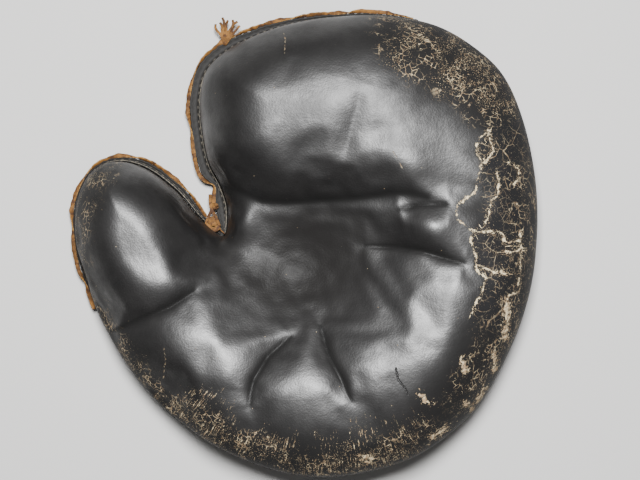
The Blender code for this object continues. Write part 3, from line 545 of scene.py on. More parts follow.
def wear_mask(kind, depth, near, points):
    """How worn each point is: full at the edge and fading inwards."""
    ragged = smooth_noise(*(0.045 * points.T), 3.0)
    worn = np.zeros(len(depth))
    for start, end, reach, strength in WEAR[kind]:
        along = smooth_step(near, start, start + 1.2) * (1 - smooth_step(near, end - 1.2, end))
        inwards = 1 - smooth_step(depth + 14 * ragged, 0.45 * reach, reach)
        worn = np.maximum(worn, strength * along * inwards)
    return worn


def mark_face(mesh, points, unswollen):
    """Stores what the face's material needs to know at each vertex. The folds stay where they were before the
    leather swelled."""
    plan, flat = points[:, :2], unswollen[:, :2]
    depth, near = from_edge(plan)
    set_attribute(mesh, "edge", np.column_stack([near * SPAN_LONG, depth, points[:, 2]]))
    bump = mound(plan, RUBBED_BUMP, RUBBED_REACH)
    set_attribute(mesh, "pocket", (1 - smooth_step(pocket_rise(plan), 0.05, 0.75)) * (1 - bump))
    # folded: the fold and the deeper creases, whose colour gets painted shade and whose leather is dull
    folded = falloff(from_line(flat, FOLD)[0], 3.6)
    for line, deep, half_width in CREASES:
        if deep < DARK_DEPTH:
            continue
        away, spot, _ = from_line(flat, line)
        folded = np.maximum(folded, np.minimum(3 * end_taper(spot), 1) * falloff(away, 0.7 * half_width))
    set_attribute(mesh, "folded", folded)
    set_attribute(mesh, "handled", 1 - 0.45 * smooth_step(plan[:, 1], 15, 105))
    for kind in WEAR:
        set_attribute(mesh, kind, wear_mask(kind, depth, near, plan))
    for name, lines in MARKS.items():
        signed = np.array([from_line(plan, line)[2] for line in lines])
        set_attribute(mesh, name + "_gap", np.abs(signed).min(axis=0))
        if name == "main_crack":
            set_attribute(mesh, name, signed[np.abs(signed).argmin(axis=0), np.arange(len(plan))])
    beyond = from_line(plan, np.vstack([POLISHED, POLISHED[:1]]))[0]
    set_attribute(mesh, "beyond", np.where(within(plan, [POLISHED]), -beyond, beyond))


def on_thumb(points):
    """True for plan points beyond the line that the thumb folds about."""
    reach, out = (points - FLEX_A) @ FLEX_ALONG, (points - FLEX_A) @ FLEX_ACROSS
    return (out > 0) & (reach < 9) & (points[:, 1] < 80) & (points[:, 0] < -50)


def split_at_flex(points, faces):
    """The face cut along the flex line: points, faces of the palm's side and faces of the thumb's side."""
    bm = bmesh.new()
    made = [bm.verts.new(p) for p in points]
    for face in faces:
        bm.faces.new([made[i] for i in face])
    normal, along = Vector((*FLEX_ACROSS, 0)), Vector((*FLEX_ALONG, 0))
    near = []
    for face in bm.faces:
        gap = face.calc_center_median() - Vector((*FLEX_A, 0))
        if abs(gap.dot(normal)) < 4 and -110 < gap.dot(along) < 6:
            near.append(face)
    geometry = set(near)
    for face in near:
        geometry.update(face.edges)
        geometry.update(face.verts)
    bmesh.ops.bisect_plane(bm, geom=list(geometry), dist=0.02, plane_co=(*FLEX_A, 0), plane_no=normal)
    bm.verts.index_update()
    points = np.array([v.co for v in bm.verts])
    faces = [tuple(v.index for v in face.verts) for face in bm.faces]
    bm.free()
    thumb = on_thumb(np.array([points[list(face)].mean(axis=0)[:2] for face in faces]))
    return points, [f for f, t in zip(faces, thumb) if not t], [f for f, t in zip(faces, thumb) if t]


def vertex_normals(points, faces):
    """Normals of the uncut surface, so that the two pieces shade as one."""
    obj = add_piece("normals", points, faces)
    normals = np.empty(len(points) * 3)
    obj.data.vertices.foreach_get("normal", normals)
    bpy.data.objects.remove(obj)
    return normals.reshape(-1, 3)


def build_face(finish):
    """The palm leather in its two pieces, which share the points of the flex line."""
    grid = 1.4
    points, faces = face_grid(20, 8, 18, grid)
    flat, points = points, swell(points)
    tree, moved = point_tree(points), points - flat
    points, palm, thumb = split_at_flex(points, faces)
    unswollen = points - moved[[tree.find(point)[1] for point in points]]
    normals = vertex_normals(points, palm + thumb)
    for name, part, node in (("face_palm", palm, "palm_face"), ("face_thumb", thumb, "thumb_face")):
        used = sorted({i for face in part for i in face})
        index = {old: new for new, old in enumerate(used)}
        piece = add_piece(name, points[used], [tuple(index[i] for i in face) for face in part], finish)
        mark_face(piece.data, points[used], unswollen[used])
        piece.data.normals_split_custom_set_from_vertices([tuple(n) for n in normals[used]])
        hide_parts(node)
        if part is thumb:
            bend_with_thumb(piece)
        else:
            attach(piece, "mitt")


def bend_with_thumb(piece):
    """Bakes the piece's placement into its mesh, and leaves it unattached."""
    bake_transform(piece)


# ---------------------------------------------------------------- sewn strips, laces and thread


def welt_width(u):
    """How far the bound seam stands out from the face leather."""
    u = np.asarray(u, float)
    finger = 6.6 - 4.2 * smooth_step(u, 6.0, 11.5) - 3.2 * falloff(u - 2.05, 0.35)
    finger = finger * np.sqrt(smooth_step(u, 0.0, 1.1)) + 0.4
    thumb = 2.6 + 1.6 * smooth_step(u, 31.5, 33.5) - 2.6 * smooth_step(u, 34.2, 35.6)
    return np.where(u < 20, finger, thumb)


WELT_NEAR, WELT_LOW, WELT_HIGH = 0.4, 6.6, 9.4  # where the welt starts outside the edge, and its heights
STITCH, STITCH_HALF = 4.4, 0.9  # pitch of the welt's stitches, and half of one's length


def arc_places(start, end, step):
    """Places along the edge about step millimetres apart, and how far along each one is."""
    u = np.linspace(start, end, 4000)
    run = run_along(edge_point(u))
    even = np.linspace(0, run[-1], int(run[-1] / step))
    return np.interp(even, run, u), even


def loft(rings, joined=False):
    """Points and faces of a tube through rings of the same length, with caps or with its ends joined."""
    count, sides = len(rings), len(rings[0])
    faces = []
    for k in range(count if joined else count - 1):
        low, high = k * sides, (k + 1) % count * sides
        for i in range(sides):
            j = (i + 1) % sides
            faces.append((low + i, low + j, high + j, high + i))
    if not joined:
        faces.append(tuple(range(sides))[::-1])
        faces.append(tuple((count - 1) * sides + i for i in range(sides)))
    return np.concatenate(rings), faces


def join_parts(parts):
    """One set of points and faces from several."""
    points, faces, so_far = [], [], 0
    for some, ring in parts:
        points.append(some)
        faces += [tuple(i + so_far for i in face) for face in ring]
        so_far += len(some)
    return np.concatenate(points), faces


THONG_SIDES = 12
THONG = squared(full_turn(THONG_SIDES), 0.5, 0.7)  # a flat section with rounded edges


def strap_along(path, width, thickness, up=(0.0, 0.0, 1.0)):
    """A flat thong with rounded edges along a path. width and thickness may change along it."""
    path = np.asarray(path, float)
    tangent = np.gradient(path, axis=0)
    tangent /= np.linalg.norm(tangent, axis=1, keepdims=True)
    side = np.cross(tangent, np.broadcast_to(np.asarray(up, float), path.shape))
    side /= np.maximum(np.linalg.norm(side, axis=1, keepdims=True), 1e-9)
    lift = np.cross(side, tangent)
    x = np.outer(0.5 * np.broadcast_to(width, len(path)), THONG[0])
    y = np.outer(0.5 * np.broadcast_to(thickness, len(path)), THONG[1])
    return loft([path[k] + np.outer(x[k], side[k]) + np.outer(y[k], lift[k]) for k in range(len(path))])


def smooth_path(points, count):
    """Evenly numbered points on a smooth curve through the given ones."""
    points = np.asarray(points, float)
    padded = np.vstack([2 * points[0] - points[1], points, 2 * points[-1] - points[-2]])
    places = np.linspace(0, len(points) - 1 - 1e-9, count)
    i = places.astype(int)
    return between(*(padded[i + k] for k in range(4)), (places - i)[:, None])


def build_welt(name, seam, finish):
    """The two plies that bind the seam, pinched at each stitch, with a worn bead along the inner one that also
    carries a painted highlight.
    """
    u, run = arc_places(*seam, 0.7)
    far = WELT_NEAR + welt_width(u)
    pinch = 0.5 + 0.5 * np.cos(2 * math.pi * run / STITCH)
    wobble = smooth_noise(0.11 * run, 0.0, 7.0)
    far = far - 0.45 * pinch + 0.5 * wobble
    bead = 0.9 + 0.35 * wobble - 0.35 * pinch
    near, low, high, flat = WELT_NEAR, WELT_LOW, WELT_HIGH, np.zeros(len(u))
    outline = [  # each place's distance out from the edge, its height and how worn it is, which also sets the painted highlight along the bead's top
        (near + flat, low, 0), (far - 0.3, low, 0), (far + 0.1, low + 0.5, 0.3), (far, low + 1.15, 0.3),
        (far - 0.35, low + 1.4, 0.1), (far, low + 1.65, 0.2), (far + 0.15, high - 0.5, 0.2),
        (far - 0.2, high + 0.15 * wobble, 0.1),
        (far - np.minimum(0.9, 0.25 * far), high - 0.2 - 0.2 * pinch, 0),
        (near + 0.6 * (far - near), high - 0.9 - 0.2 * pinch, 0),
        (near + np.minimum(1.8, 0.42 * far), high - 0.9 - 0.3 * pinch, 0),
        (near + np.minimum(1.45, 0.36 * far), high + 0.5 * bead, 0.5),
        (near + np.minimum(1.05, 0.26 * far), high + bead, 1.0), (near + 0.5 + flat, high + 0.4 * bead, 0.5),
        (near + flat, high - 0.2, 0),
    ]
    columns = np.stack([raised(inset(u, -out), height) for out, height, _ in outline], axis=1)
    welt = add_piece(name, *loft(list(columns)), finish)
    # ridge: wear along the welt's edges, and a painted highlight along the top of its bead
    set_attribute(welt.data, "ridge", np.tile([worn for _, _, worn in outline], len(u)))
    return welt


def build_stitches(name, seam, finish):
    """The thread of the bound seam, a short stitch in each pinch."""
    u, run = arc_places(*seam, 0.5)
    parts = []
    for middle in np.arange(STITCH, run[-1] - STITCH, STITCH):
        reach = np.linspace(middle - STITCH_HALF, middle + STITCH_HALF, 7)
        at = np.interp(reach, run, u)
        arch = 1 - ((reach - middle) / STITCH_HALF) ** 2
        out = WELT_NEAR + np.minimum(1.9, 0.5 * welt_width(at))
        parts.append(strap_along(raised(inset(at, -out), WELT_HIGH - 1.3 + 0.45 * arch), 0.5, 0.5))
    return add_piece(name, *join_parts(parts), finish)


LACE_TWIST, LACE_WIDTH, LACE_THICK = 34.0, 2.6, 1.0  # length of a half turn of the lace, and its section


def add_lace(name, parts, finish):
    """A piece of lace, which knows at each vertex how near it is to the thong's cut edges."""
    points, faces = join_parts(parts)
    lace = add_piece(name, points, faces, finish)
    cut_edge = np.abs(np.cos(full_turn(THONG_SIDES))) > 0.8
    set_attribute(lace.data, "cut_edge", np.tile(cut_edge.astype(float), len(points) // THONG_SIDES))
    return lace


def build_lace(name, seam, finish):
    """The thong along the welt's border, which turns over now and then between flat and on edge."""
    u, run = arc_places(*seam, 0.5)
    wander, ripple = smooth_noise(0.055 * run, 4.0, 1.0), smooth_noise(0.30 * run, 9.0, 2.0)
    turn = math.pi * run / LACE_TWIST + 1.3 * wander
    out = WELT_NEAR + welt_width(u) + 0.75 + 0.35 * np.cos(2 * turn) + 0.8 * wander + 0.25 * ripple
    height = 8.6 + 0.5 * np.cos(2 * turn) + 0.5 * ripple
    away = raised(-inward(u) * np.sin(turn)[:, None], np.cos(turn))
    width, thickness = LACE_WIDTH * (1 + 0.3 * ripple), LACE_THICK * (1 + 0.3 * wander)
    return add_lace(name, [strap_along(raised(inset(u, -out), height), width, thickness, up=away)], finish)


def build_knot(finish, leather):
    """The end of the lace in the crotch: two crossing tails, a folded triangular loop, a bead and a loose end,
    over the leather that joins the two seams."""
    left, right, cross = (-58.2, 9.2, 12.4), (-49.8, 8.0, 12.6), (-54.6, 18.6, 13.2)
    routes = [
        ([(-55.8, 28, 10.6), (-55.6, 23, 12.0), cross, (-52.0, 13.5, 13.4), right], 2.0, 1.0),
        ([(-53.2, 22.5, 11.6), cross, (-56.9, 13.5, 12.9), left], 1.8, 0.9),
        ([left, (-55.4, 6.6, 12.6), (-52.4, 6.2, 12.8), right], 3.2, 1.2),
        ([(-57.2, 11.5, 12.0), (-54.0, 12.6, 12.5), (-51.2, 10.5, 12.6)], 3.6, 1.1),
        ([(-56.0, 9.4, 12.2), (-53.8, 9.9, 12.6), (-51.6, 9.0, 12.6)], 3.0, 1.1),
        ([(-50.6, 7.8, 12.9), (-48.6, 5.4, 11.8), (-46.6, 3.6, 11.6)], 0.7, 0.6),
    ]
    parts = [strap_along(smooth_path(points, 26), wide, thick) for points, wide, thick in routes]
    turn = np.linspace(0, 2 * math.pi, 10)
    bead = np.column_stack([1.1 * np.cos(turn), 1.1 * np.sin(turn), 0.5 * np.sin(2 * turn)])
    parts.append(strap_along(bead + (-52.4, 20.6, 12.6), 2.0, 1.8))
    plan = [(-46.5, 2.5), (-46.2, 9), (-46.8, 17), (-50, 18), (-54.5, 14), (-57, 9), (-53, 4), (-49.5, 1)]
    gusset = add_piece("crotch_gusset", *plate([np.array(plan)], 7.4, 8.6, 0.4, 3.0), leather)
    settle(gusset, "mitt", "black_leather")
    settle(add_lace("knot_of_lace", parts, finish), "mitt", "lace_leather", "crotch_knot")


def build_tail(finish):
    """The frayed end of the lace: strands that spread from where it leaves the seam."""
    base, parts = np.array([-46.6, 121.5, 9.2]), []
    for k, angle in enumerate(np.radians(np.linspace(52, 112, 9))):
        long = 15.0 + 2.0 * math.sin(2.3 * k)
        out = np.array([math.cos(angle), math.sin(angle), 0])
        curl = np.array([-out[1], out[0], 0]) * math.sin(1.7 * k) * 1.8
        rise = 0.9 * math.cos(2.1 * k)
        path = [(0, 0, 0), out * long * 0.45 + (0, 0, 1.4), out * long * 0.8 + curl + (0, 0, 1.0 + rise),
                out * long + curl * 0.4 + (0, 0, rise)]
        parts.append(strap_along(base + smooth_path(path, 18), np.linspace(1.8, 1.5, 18), 0.9))
    settle(add_lace("tail_of_lace", parts, finish), "mitt", "lace_leather", "lace_tail")


def build_seams(leather, lace, thread):
    for side, seam, laced in (("finger", FINGER_SEAM, FINGER_LACE), ("thumb", THUMB_SEAM, THUMB_LACE)):
        welt = build_welt(side + "_binding", seam, leather)
        thong = build_lace(side + "_thong", laced, lace)
        stitches = build_stitches(side + "_stitches", seam, thread)
        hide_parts(side + "_welt")
        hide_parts(side + "_lace")
        for piece, slot in ((welt, "black_leather"), (thong, "lace_leather"), (stitches, "lace_leather")):
            if side == "thumb":
                bend_with_thumb(piece)
            else:
                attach(piece, "mitt")
    build_knot(lace, leather)
    build_tail(lace)


# ---------------------------------------------------------------- leather plates and their stitching

HAND_ROOF, LINING_END, LINING_WALL = 28.5, -124.0, 1.6
LINING_ROOF = HAND_ROOF - 0.5 - 1.8
THUMB_WAY_SIDE = (-96.0, -22.0)  # stretch of the lining's left wall that the thumb passes through

# Width of each finger stall and how far up it ends
STALLS = {
    "index_stall": (21.2, 80), "middle_stall": (21.2, 84),
    "ring_stall": (20.4, 80), "little_stall": (18.6, 68),
}
STALL_LEFT, STALL_MOUTH, STALL_GAP, STALL_ROOF = -32.6, 8.0, 0.6, LINING_ROOF - 0.5
THUMB_MOUTH, THUMB_TIP, THUMB_WIDE, THUMB_ROOF = np.array([-88.0, -14.0]), np.array([-103.5, 24.0]), 25.0, 24.0
THIN = 1.4  # the stalls' leather

STRAP_ROOT, STRAP_TURN, STRAP_Z = np.array([62.0, -82.0]), math.radians(197.5), 3.4
STRAP_LONG, STRAP_HALF, STRAP_THICK = 104.0, 9.0, 2.0
KEEPER_AT = 20.0
BAR = np.array([-62.0, -83.0, 3.8])
FRAME_LONG, FRAME_WIDE, FRAME_CORNER, WIRE_R = 19.0, 25.0, 3.2, 1.2
ROLLER_R, CHAPE_LONG = 2.1, 17.0
RIVETS = {
    "strap_rivet_upper": (69.5, -74.2), "strap_rivet_lower": (72.6, -83.4), "chape_rivet": (-73.0, -83.0),
}


def node_loops(node):
    """Outlines of a flat CAD node's underside, with the leather on the left of each."""
    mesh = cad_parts[node].data
    points = np.array([v.co for v in mesh.vertices]) / MM - SHIFT
    keys = [tuple(np.round(p, 3)) for p in points]
    following, pairs = {}, set()
    for face in mesh.polygons:
        if face.normal.z < -0.9:
            ring = [keys[i] for i in face.vertices]
            pairs.update(zip(ring, ring[1:] + ring[:1]))
    for a, b in pairs:
        if (b, a) not in pairs:
            following[b] = a
    loops = []
    while following:
        start, here = next(iter(sorted(following.items())))
        loop = [start]
        following.pop(start)
        while here != start and here in following:
            loop.append(here)
            here = following.pop(here)
        loops.append(np.array(loop)[:, :2])
    return loops


def even_loop(loop, step, soften=2):
    """A closed outline with points a step apart and its corners a little rounded."""
    closed = np.vstack([loop, loop[:1]])
    run = run_along(closed)
    count = max(12, int(run[-1] / step))
    points = points_at(closed, run, np.linspace(0, run[-1], count, endpoint=False))
    for _ in range(soften):
        points = 0.5 * points + 0.25 * (np.roll(points, 1, axis=0) + np.roll(points, -1, axis=0))
    return points


def leftward(loop):
    """Unit normals on the left of a closed outline."""
    step = np.roll(loop, -1, axis=0) - np.roll(loop, 1, axis=0)
    step /= np.maximum(np.linalg.norm(step, axis=1, keepdims=True), 1e-9)
    return np.column_stack([-step[:, 1], step[:, 0]])


def plate(loops, low, high, rounding=0.6, grid=4.0, sag=None):
    """Points and faces of a flat piece of leather with rounded edges. sag(plan) moves its faces up or down."""
    loops = [even_loop(loop, 1.6 if len(loop) > 14 or k == 0 else 0.6) for k, loop in enumerate(loops)]
    sizes = [len(loop) for loop in loops]
    count, half = sum(sizes), (high - low) / 2
    layers = []
    for angle in np.radians(np.linspace(-90, 90, 7)):
        plan = np.vstack([loop + leftward(loop) * rounding * (1 - math.cos(angle)) for loop in loops])
        z = low + half + math.copysign(half - rounding, math.sin(angle)) * abs(math.sin(angle)) ** 0.3
        layers.append(raised(plan, z + rounding * math.sin(angle)))
    rim = layers[0][:, :2]
    middle = staggered(rim.min(axis=0), rim.max(axis=0), grid)
    middle = middle[within(middle, loops)]
    tree = point_tree(raised(rim, 0))
    middle = np.array([p for p in middle if tree.find((*p, 0))[2] > 0.5 * grid]).reshape(-1, 2)
    starts = np.concatenate([[0], np.cumsum(sizes)]).tolist()
    edges = []
    for start, size in zip(starts, sizes):
        edges += [(start + i, start + (i + 1) % size) for i in range(size)]
    plan = [Vector(p) for p in np.vstack([rim, middle])]
    made, _, triangles, origins, _, _ = delaunay_2d_cdt(plan, edges, [], 0, 1e-6)
    centres = np.array([np.mean([made[i] for i in t], axis=0) for t in triangles])
    rings = [rim[start:start + size] for start, size in zip(starts, sizes)]
    triangles = [t for t, inside in zip(triangles, within(centres, rings)) if inside]
    top = count * (len(layers) - 1)
    first = count * len(layers)
    low_index = [o[0] if o[0] < count else first + o[0] - count for o in origins]
    high_index = [top + o[0] if o[0] < count else first + len(middle) + o[0] - count for o in origins]
    points = np.vstack([*layers, raised(middle, low), raised(middle, high)])
    faces = [tuple(low_index[i] for i in t)[::-1] for t in triangles]
    faces += [tuple(high_index[i] for i in t) for t in triangles]
    for layer in range(len(layers) - 1):
        for start, size in zip(starts, sizes):
            for i in range(size):
                a, b = layer * count + start + i, layer * count + start + (i + 1) % size
                faces.append((a, b, b + count, a + count))
    if sag:
        points[:, 2] += sag(points[:, :2])
    return points, faces


ARCH = (-0.35, 0.15, 0.3, 0.15, -0.35)  # height of a stitch along its length
DOWN = np.array([0.0, 0.0, -1.0])  # away from the leather of the back


def stitches_along(path, pitch, wide=0.55, share=0.62):
    """A row of short thread stitches laid along the underside of a piece."""
    run, around, parts = run_along(path), full_turn(6), []
    for middle in np.arange(pitch, run[-1] - pitch / 2, pitch):
        reach = np.linspace(middle - share * pitch / 2, middle + share * pitch / 2, len(ARCH))
        line = points_at(path, run, reach) + np.outer(ARCH, DOWN)
        side = np.cross((line[-1] - line[0]) / np.linalg.norm(line[-1] - line[0]), DOWN)
        ring = wide / 2 * (np.outer(np.cos(around), side) + np.outer(np.sin(around), DOWN))
        parts.append(loft([point + ring for point in line]))
    return join_parts(parts)


def loop_stitches(loop, inside, z, pitch=4.0, step=1.5):
    """Stitches that follow a closed outline a little inside it, on the underside of a plate."""
    ring = even_loop(loop, step)
    path = raised(ring + leftward(ring) * inside, z)
    return stitches_along(np.vstack([path, path[:1]]), pitch)


def revolve(profile, centre, turns=28):
    """A closed solid of revolution about an upright axis, from pairs of radius and height."""
    circle = np.column_stack([np.cos(full_turn(turns)), np.sin(full_turn(turns))])
    return loft([raised(centre + r * circle, z) for r, z in profile])


def panel_sag(points):
    """The soft give of the back's leather, none where the strap and buckle lie."""
    calm = np.minimum(from_line(points, [(84, -75), (-84, -85)])[0] / 30, 1) ** 2
    waves = smooth_noise(*(0.035 * points.T), 5.0) + 0.4 * smooth_noise(*(0.1 * points.T), 2.0)
    return 1.1 * calm * waves - 0.3 * calm


def build_back(leather, thread_finish):
    """The sheets that close the back, each with a row of stitches along its edge."""
    for node, body in (("back_panel", "mitt"), ("heel_back_panel", "mitt"), ("thumb_back_panel", "thumb")):
        loops = sorted(sorted(node_loops(node), key=len, reverse=True), key=lambda loop: -np.ptp(loop[:, 0]))
        points, faces = plate(loops, BACK_UNDER, BACK_UNDER + BACK_THICK, 0.8, sag=panel_sag)
        panel = add_piece(node + "_leather", points, faces, leather)
        points, faces = loop_stitches(loops[0], 3.2, BACK_UNDER)
        points[:, 2] += panel_sag(points[:, :2])
        row = add_piece(node + "_stitches", points, faces, thread_finish)
        settle(panel, body, "back_leather", node)
        settle(row, body, "lace_leather")


def round_end(y, start, reach):
    """1 up to the start of a rounded end, falling as a quarter circle to 0 after its reach."""
    return math.sqrt(max(1 - (max(y - start, 0) / reach) ** 2, 0.0))


def across_y(x, y, z):
    """A section that stands across Y."""
    return np.column_stack([x, np.full(len(x), y), z])


def stall_rings(width, length, roof, inside):
    """Cross-sections of a stall along +Y from its mouth to its rounded tip, drawn in by inside all round."""
    rings, section = [], squared(full_turn(36), 0.55, 0.55)
    nose = 0.5 * width
    bend = length - inside - nose
    for y in (*np.linspace(0, bend, 16), *(bend + nose * np.sin(np.radians(np.linspace(8, 89, 11))))):
        tip = round_end(y, bend, nose) ** 0.8
        give = min(0.35 * math.sin(y * 0.21) * tip - 0.25, 0)
        x, z = (((size / 2 - inside) * tip + give) * part for size, part in zip((width, roof), section))
        rings.append(across_y(x, y, roof / 2 + z))
    return rings


def build_stalls(leather, thread_finish):
    """The finger and thumb stalls: soft leather tubes, open at the mouth, with a stitched hem."""
    places, x = {}, STALL_LEFT
    for name, (width, tip) in STALLS.items():
        mouth = np.array([x + width / 2, STALL_MOUTH])
        places[name] = (mouth, 0.0, width, tip - STALL_MOUTH, STALL_ROOF, "mitt")
        x += width + STALL_GAP
    long = np.linalg.norm(THUMB_TIP - THUMB_MOUTH)
    turn = math.atan2(*(THUMB_TIP - THUMB_MOUTH)[::-1]) - math.pi / 2
    places["thumb_stall"] = (THUMB_MOUTH, turn, THUMB_WIDE, long, THUMB_ROOF, "thumb")
    for name, (mouth, turn, width, length, roof, body) in places.items():
        rings = stall_rings(width, length, roof, 0.0)[::-1] + stall_rings(width, length, roof, THIN)
        points, faces = loft(rings)
        across = np.linspace(-width / 2 + 4, width / 2 - 4, 20)
        threads, ties = stitches_along(across_y(across, 3.0, np.full(20, 0.75)), 2.6, 0.5)
        for some in (points, threads):
            some[:, :2] = some[:, :2] @ turned_by(turn) + mouth
        stall = add_piece(name + "_leather", points, faces, leather)
        settle(stall, body, "back_leather", name)
        settle(add_piece(name + "_stitches", threads, ties, thread_finish), body, "lace_leather")


def build_lining(finish):
    """The lining of the hand space, one skin of soft leather, and the leather under the thumb's padding."""
    low, high, half, corner = 6.8, HAND_ROOF - 0.7, 43.5, 4.0
    arc = np.radians(np.linspace(0, 90, 8))
    right = np.column_stack([half - corner + corner * np.cos(arc), high - corner + corner * np.sin(arc)])
    section = np.vstack([[(half, low)], right, (right * (-1, 1))[::-1], [(-half, low)]])
    run, count = run_along(section), 72
    across, up = points_at(section, run, np.linspace(0, run[-1], count)).T
    rings = []
    rounded = 78.0 + 9.5 * np.sin(np.radians(np.linspace(0, 89, 14)))
    for y in (*np.arange(LINING_END, 77, 3.0), *rounded):
        narrow = 9.0 * (1 - round_end(y, 78.5, 9.0))
        give = np.abs(smooth_noise(0.05 * across, 0.05 * y, 0.05 * up))
        x = 9.0 + across * (1 - narrow / half) * (1 - 0.012 * give)
        rings.append(across_y(x, y, low + (up - low) * round_end(y, 82.5, 5.0) - 0.5 * give * (up > low + 5)))
    points, faces = np.concatenate(rings), []
    for row in range(len(rings) - 1):
        for k in range(count - 1):
            here, there = row * count + k, (row + 1) * count + k
            face = [here, here + 1, there + 1, there]
            x, y, z = points[face].mean(axis=0)
            if not (x < -25 and z < high - corner - 1 and THUMB_WAY_SIDE[0] < y < THUMB_WAY_SIDE[1]):
                faces.append(tuple(face))
    lining = add_piece("hand_lining_leather", points, faces, finish)
    thick = lining.modifiers.new("thickness", "SOLIDIFY")
    thick.thickness = LINING_WALL * MM
    thick.offset = -1
    settle(lining, "mitt", "lining_leather", "hand_lining")
    thumb = add_piece("thumb_lining_leather", *plate(node_loops("thumb_lining")[:1], 24.5, 25.2, 0.3), finish)
    settle(thumb, "thumb", "lining_leather", "thumb_lining")


PAD_UNDER = 3.0  # least depth of the felt's top under the leather's


def build_pads(finish):
    """The felt pads: the CAD solids made soft and lumpy."""
    for node in ("finger_pad", "side_pad", "heel_pad", "palm_felt", "thumb_pad"):
        obj = bpy.data.objects.new("rough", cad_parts[node].data.copy())
        bpy.context.scene.collection.objects.link(obj)
        remesh = obj.modifiers.new("remesh", "REMESH")
        remesh.mode = "VOXEL"
        remesh.voxel_size = 2.6 * MM
        smooth = obj.modifiers.new("smooth", "SMOOTH")
        smooth.factor, smooth.iterations = 0.5, 6
        made = bpy.data.meshes.new_from_object(obj.evaluated_get(bpy.context.evaluated_depsgraph_get()))
        points = np.array([v.co for v in made.vertices]) / MM - SHIFT
        normals = np.array([v.normal for v in made.vertices])
        points += normals * (0.7 * smooth_noise(*(0.12 * points.T)) - 0.7)[:, None]
        points[:, 2] = np.minimum(points[:, 2], face_height(points[:, :2]) - PAD_UNDER)
        faces = [tuple(face.vertices) for face in made.polygons]
        bpy.data.objects.remove(obj)
        pad = add_piece(node + "_stuffing", points, faces, finish)
        settle(pad, "thumb" if node == "thumb_pad" else "mitt", "hair_felt", node)


# ---------------------------------------------------------------- wrist strap and buckle


def on_strap(points):
    """Points drawn along +X from the strap's hinge line, carried to their place on the back."""
    points = np.asarray(points, float)
    return raised(points[:, :2] @ turned_by(STRAP_TURN) + STRAP_ROOT, points[:, 2] + STRAP_Z)


def hole(centre, radius):
    around = full_turn(16)
    return np.column_stack([centre[0] + radius * np.cos(around), centre[1] - radius * np.sin(around)])


def rivet_holes():
    """The holes for the strap's two rivets, in the strap's own drawing."""
    spots = [RIVETS[name] - STRAP_ROOT for name in ("strap_rivet_upper", "strap_rivet_lower")]
    return [hole(turned_by(STRAP_TURN) @ spot, 1.4) for spot in spots]


def band(path, width, thickness, sideways):
    """A closed band whose section stays square to its path. sideways is the direction of its width."""
    path = np.asarray(path, float)
    tangent = np.roll(path, -1, axis=0) - np.roll(path, 1, axis=0)
    tangent /= np.linalg.norm(tangent, axis=1, keepdims=True)
    sideways = np.asarray(sideways, float)
    away = np.cross(tangent, sideways)
    x, y = squared(full_turn(16), 0.5, 0.7)
    across = np.outer(0.5 * width * x, sideways)
    return loft([p + across + np.outer(0.5 * thickness * y, a) for p, a in zip(path, away)], joined=True)


def rounded_rectangle(half_long, half_wide, corner, steps=8):
    points = []
    for sx, sy, start in ((1, 1, 0), (-1, 1, 90), (-1, -1, 180), (1, -1, 270)):
        for angle in np.radians(np.linspace(start, start + 90, steps)):
            x = sx * (half_long - corner) + corner * math.cos(angle)
            points.append((x, sy * (half_wide - corner) + corner * math.sin(angle)))
    return np.array(points)


def build_strap(leather, thread_finish):
    """The strap with its sewn end, the patch under it and its keeper."""
    half, tip = STRAP_HALF, STRAP_LONG
    lower = [(-18, -half + 3), (-16, -half), (tip - 11, -half), (tip - 3, -half * 0.55)]
    outline = np.array([*lower, (tip, 0), *[(x, -y) for x, y in lower[::-1]]])
    holes = [hole((tip - 20 - 9.0 * k, 0), 1.5) for k in range(5)]
    points, faces = plate([outline, *holes, *rivet_holes()], -STRAP_THICK / 2, STRAP_THICK / 2, 0.7, 2.5)
    strap = add_piece("wrist_strap_leather", on_strap(points), faces, leather)
    along = np.linspace(-15, tip - 12, 160)
    paths = [across_y(along, side * (half - 1.8), np.full(160, -STRAP_THICK / 2)) for side in (-1, 1)]
    points, faces = join_parts([stitches_along(path, 3.0, 0.5) for path in paths])
    row = add_piece("wrist_strap_stitches", on_strap(points), faces, thread_finish)
    for piece in (strap, row):
        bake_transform(piece)
    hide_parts("wrist_strap", "strap_root")

    wide, gap = half + 3, 0.4
    patch_plan = np.array([(-2, -wide), (-2, wide), (-18, wide), (-22, half), (-22, -half), (-18, -wide)])
    low, high = STRAP_THICK / 2 + gap, BACK_UNDER - STRAP_Z - gap
    points, faces = plate([patch_plan, *rivet_holes()], low, high, 0.5, 3.0)
    patch = add_piece("strap_patch_leather", on_strap(points), faces, leather)
    settle(patch, "mitt", "back_leather", "strap_patch")

    ring = rounded_rectangle(half + 1.15, 2.0, 1.4)
    path = np.column_stack([np.full(len(ring), KEEPER_AT), ring])
    points, faces = band(path, 8.0, 1.2, (1, 0, 0))
    keeper = add_piece("strap_keeper_leather", on_strap(points), faces, leather)
    settle(keeper, "keeper", "back_leather", "strap_keeper")


def bent_strip(run, middle, count, width, thickness):
    """A strip through places (x, z) measured from the buckle's bar, in the upright plane at y = middle."""
    path = BAR + smooth_path([(x, middle, z) for x, z in run], count)
    tangent = np.gradient(path, axis=0)
    return strap_along(path, width, thickness, up=across_y(-tangent[:, 2], 0.0, tangent[:, 0]))


def arc_about_bar(radius, start, end, count):
    turns = np.radians(np.linspace(start, end, count))
    return [(radius * math.cos(t), radius * math.sin(t)) for t in turns]


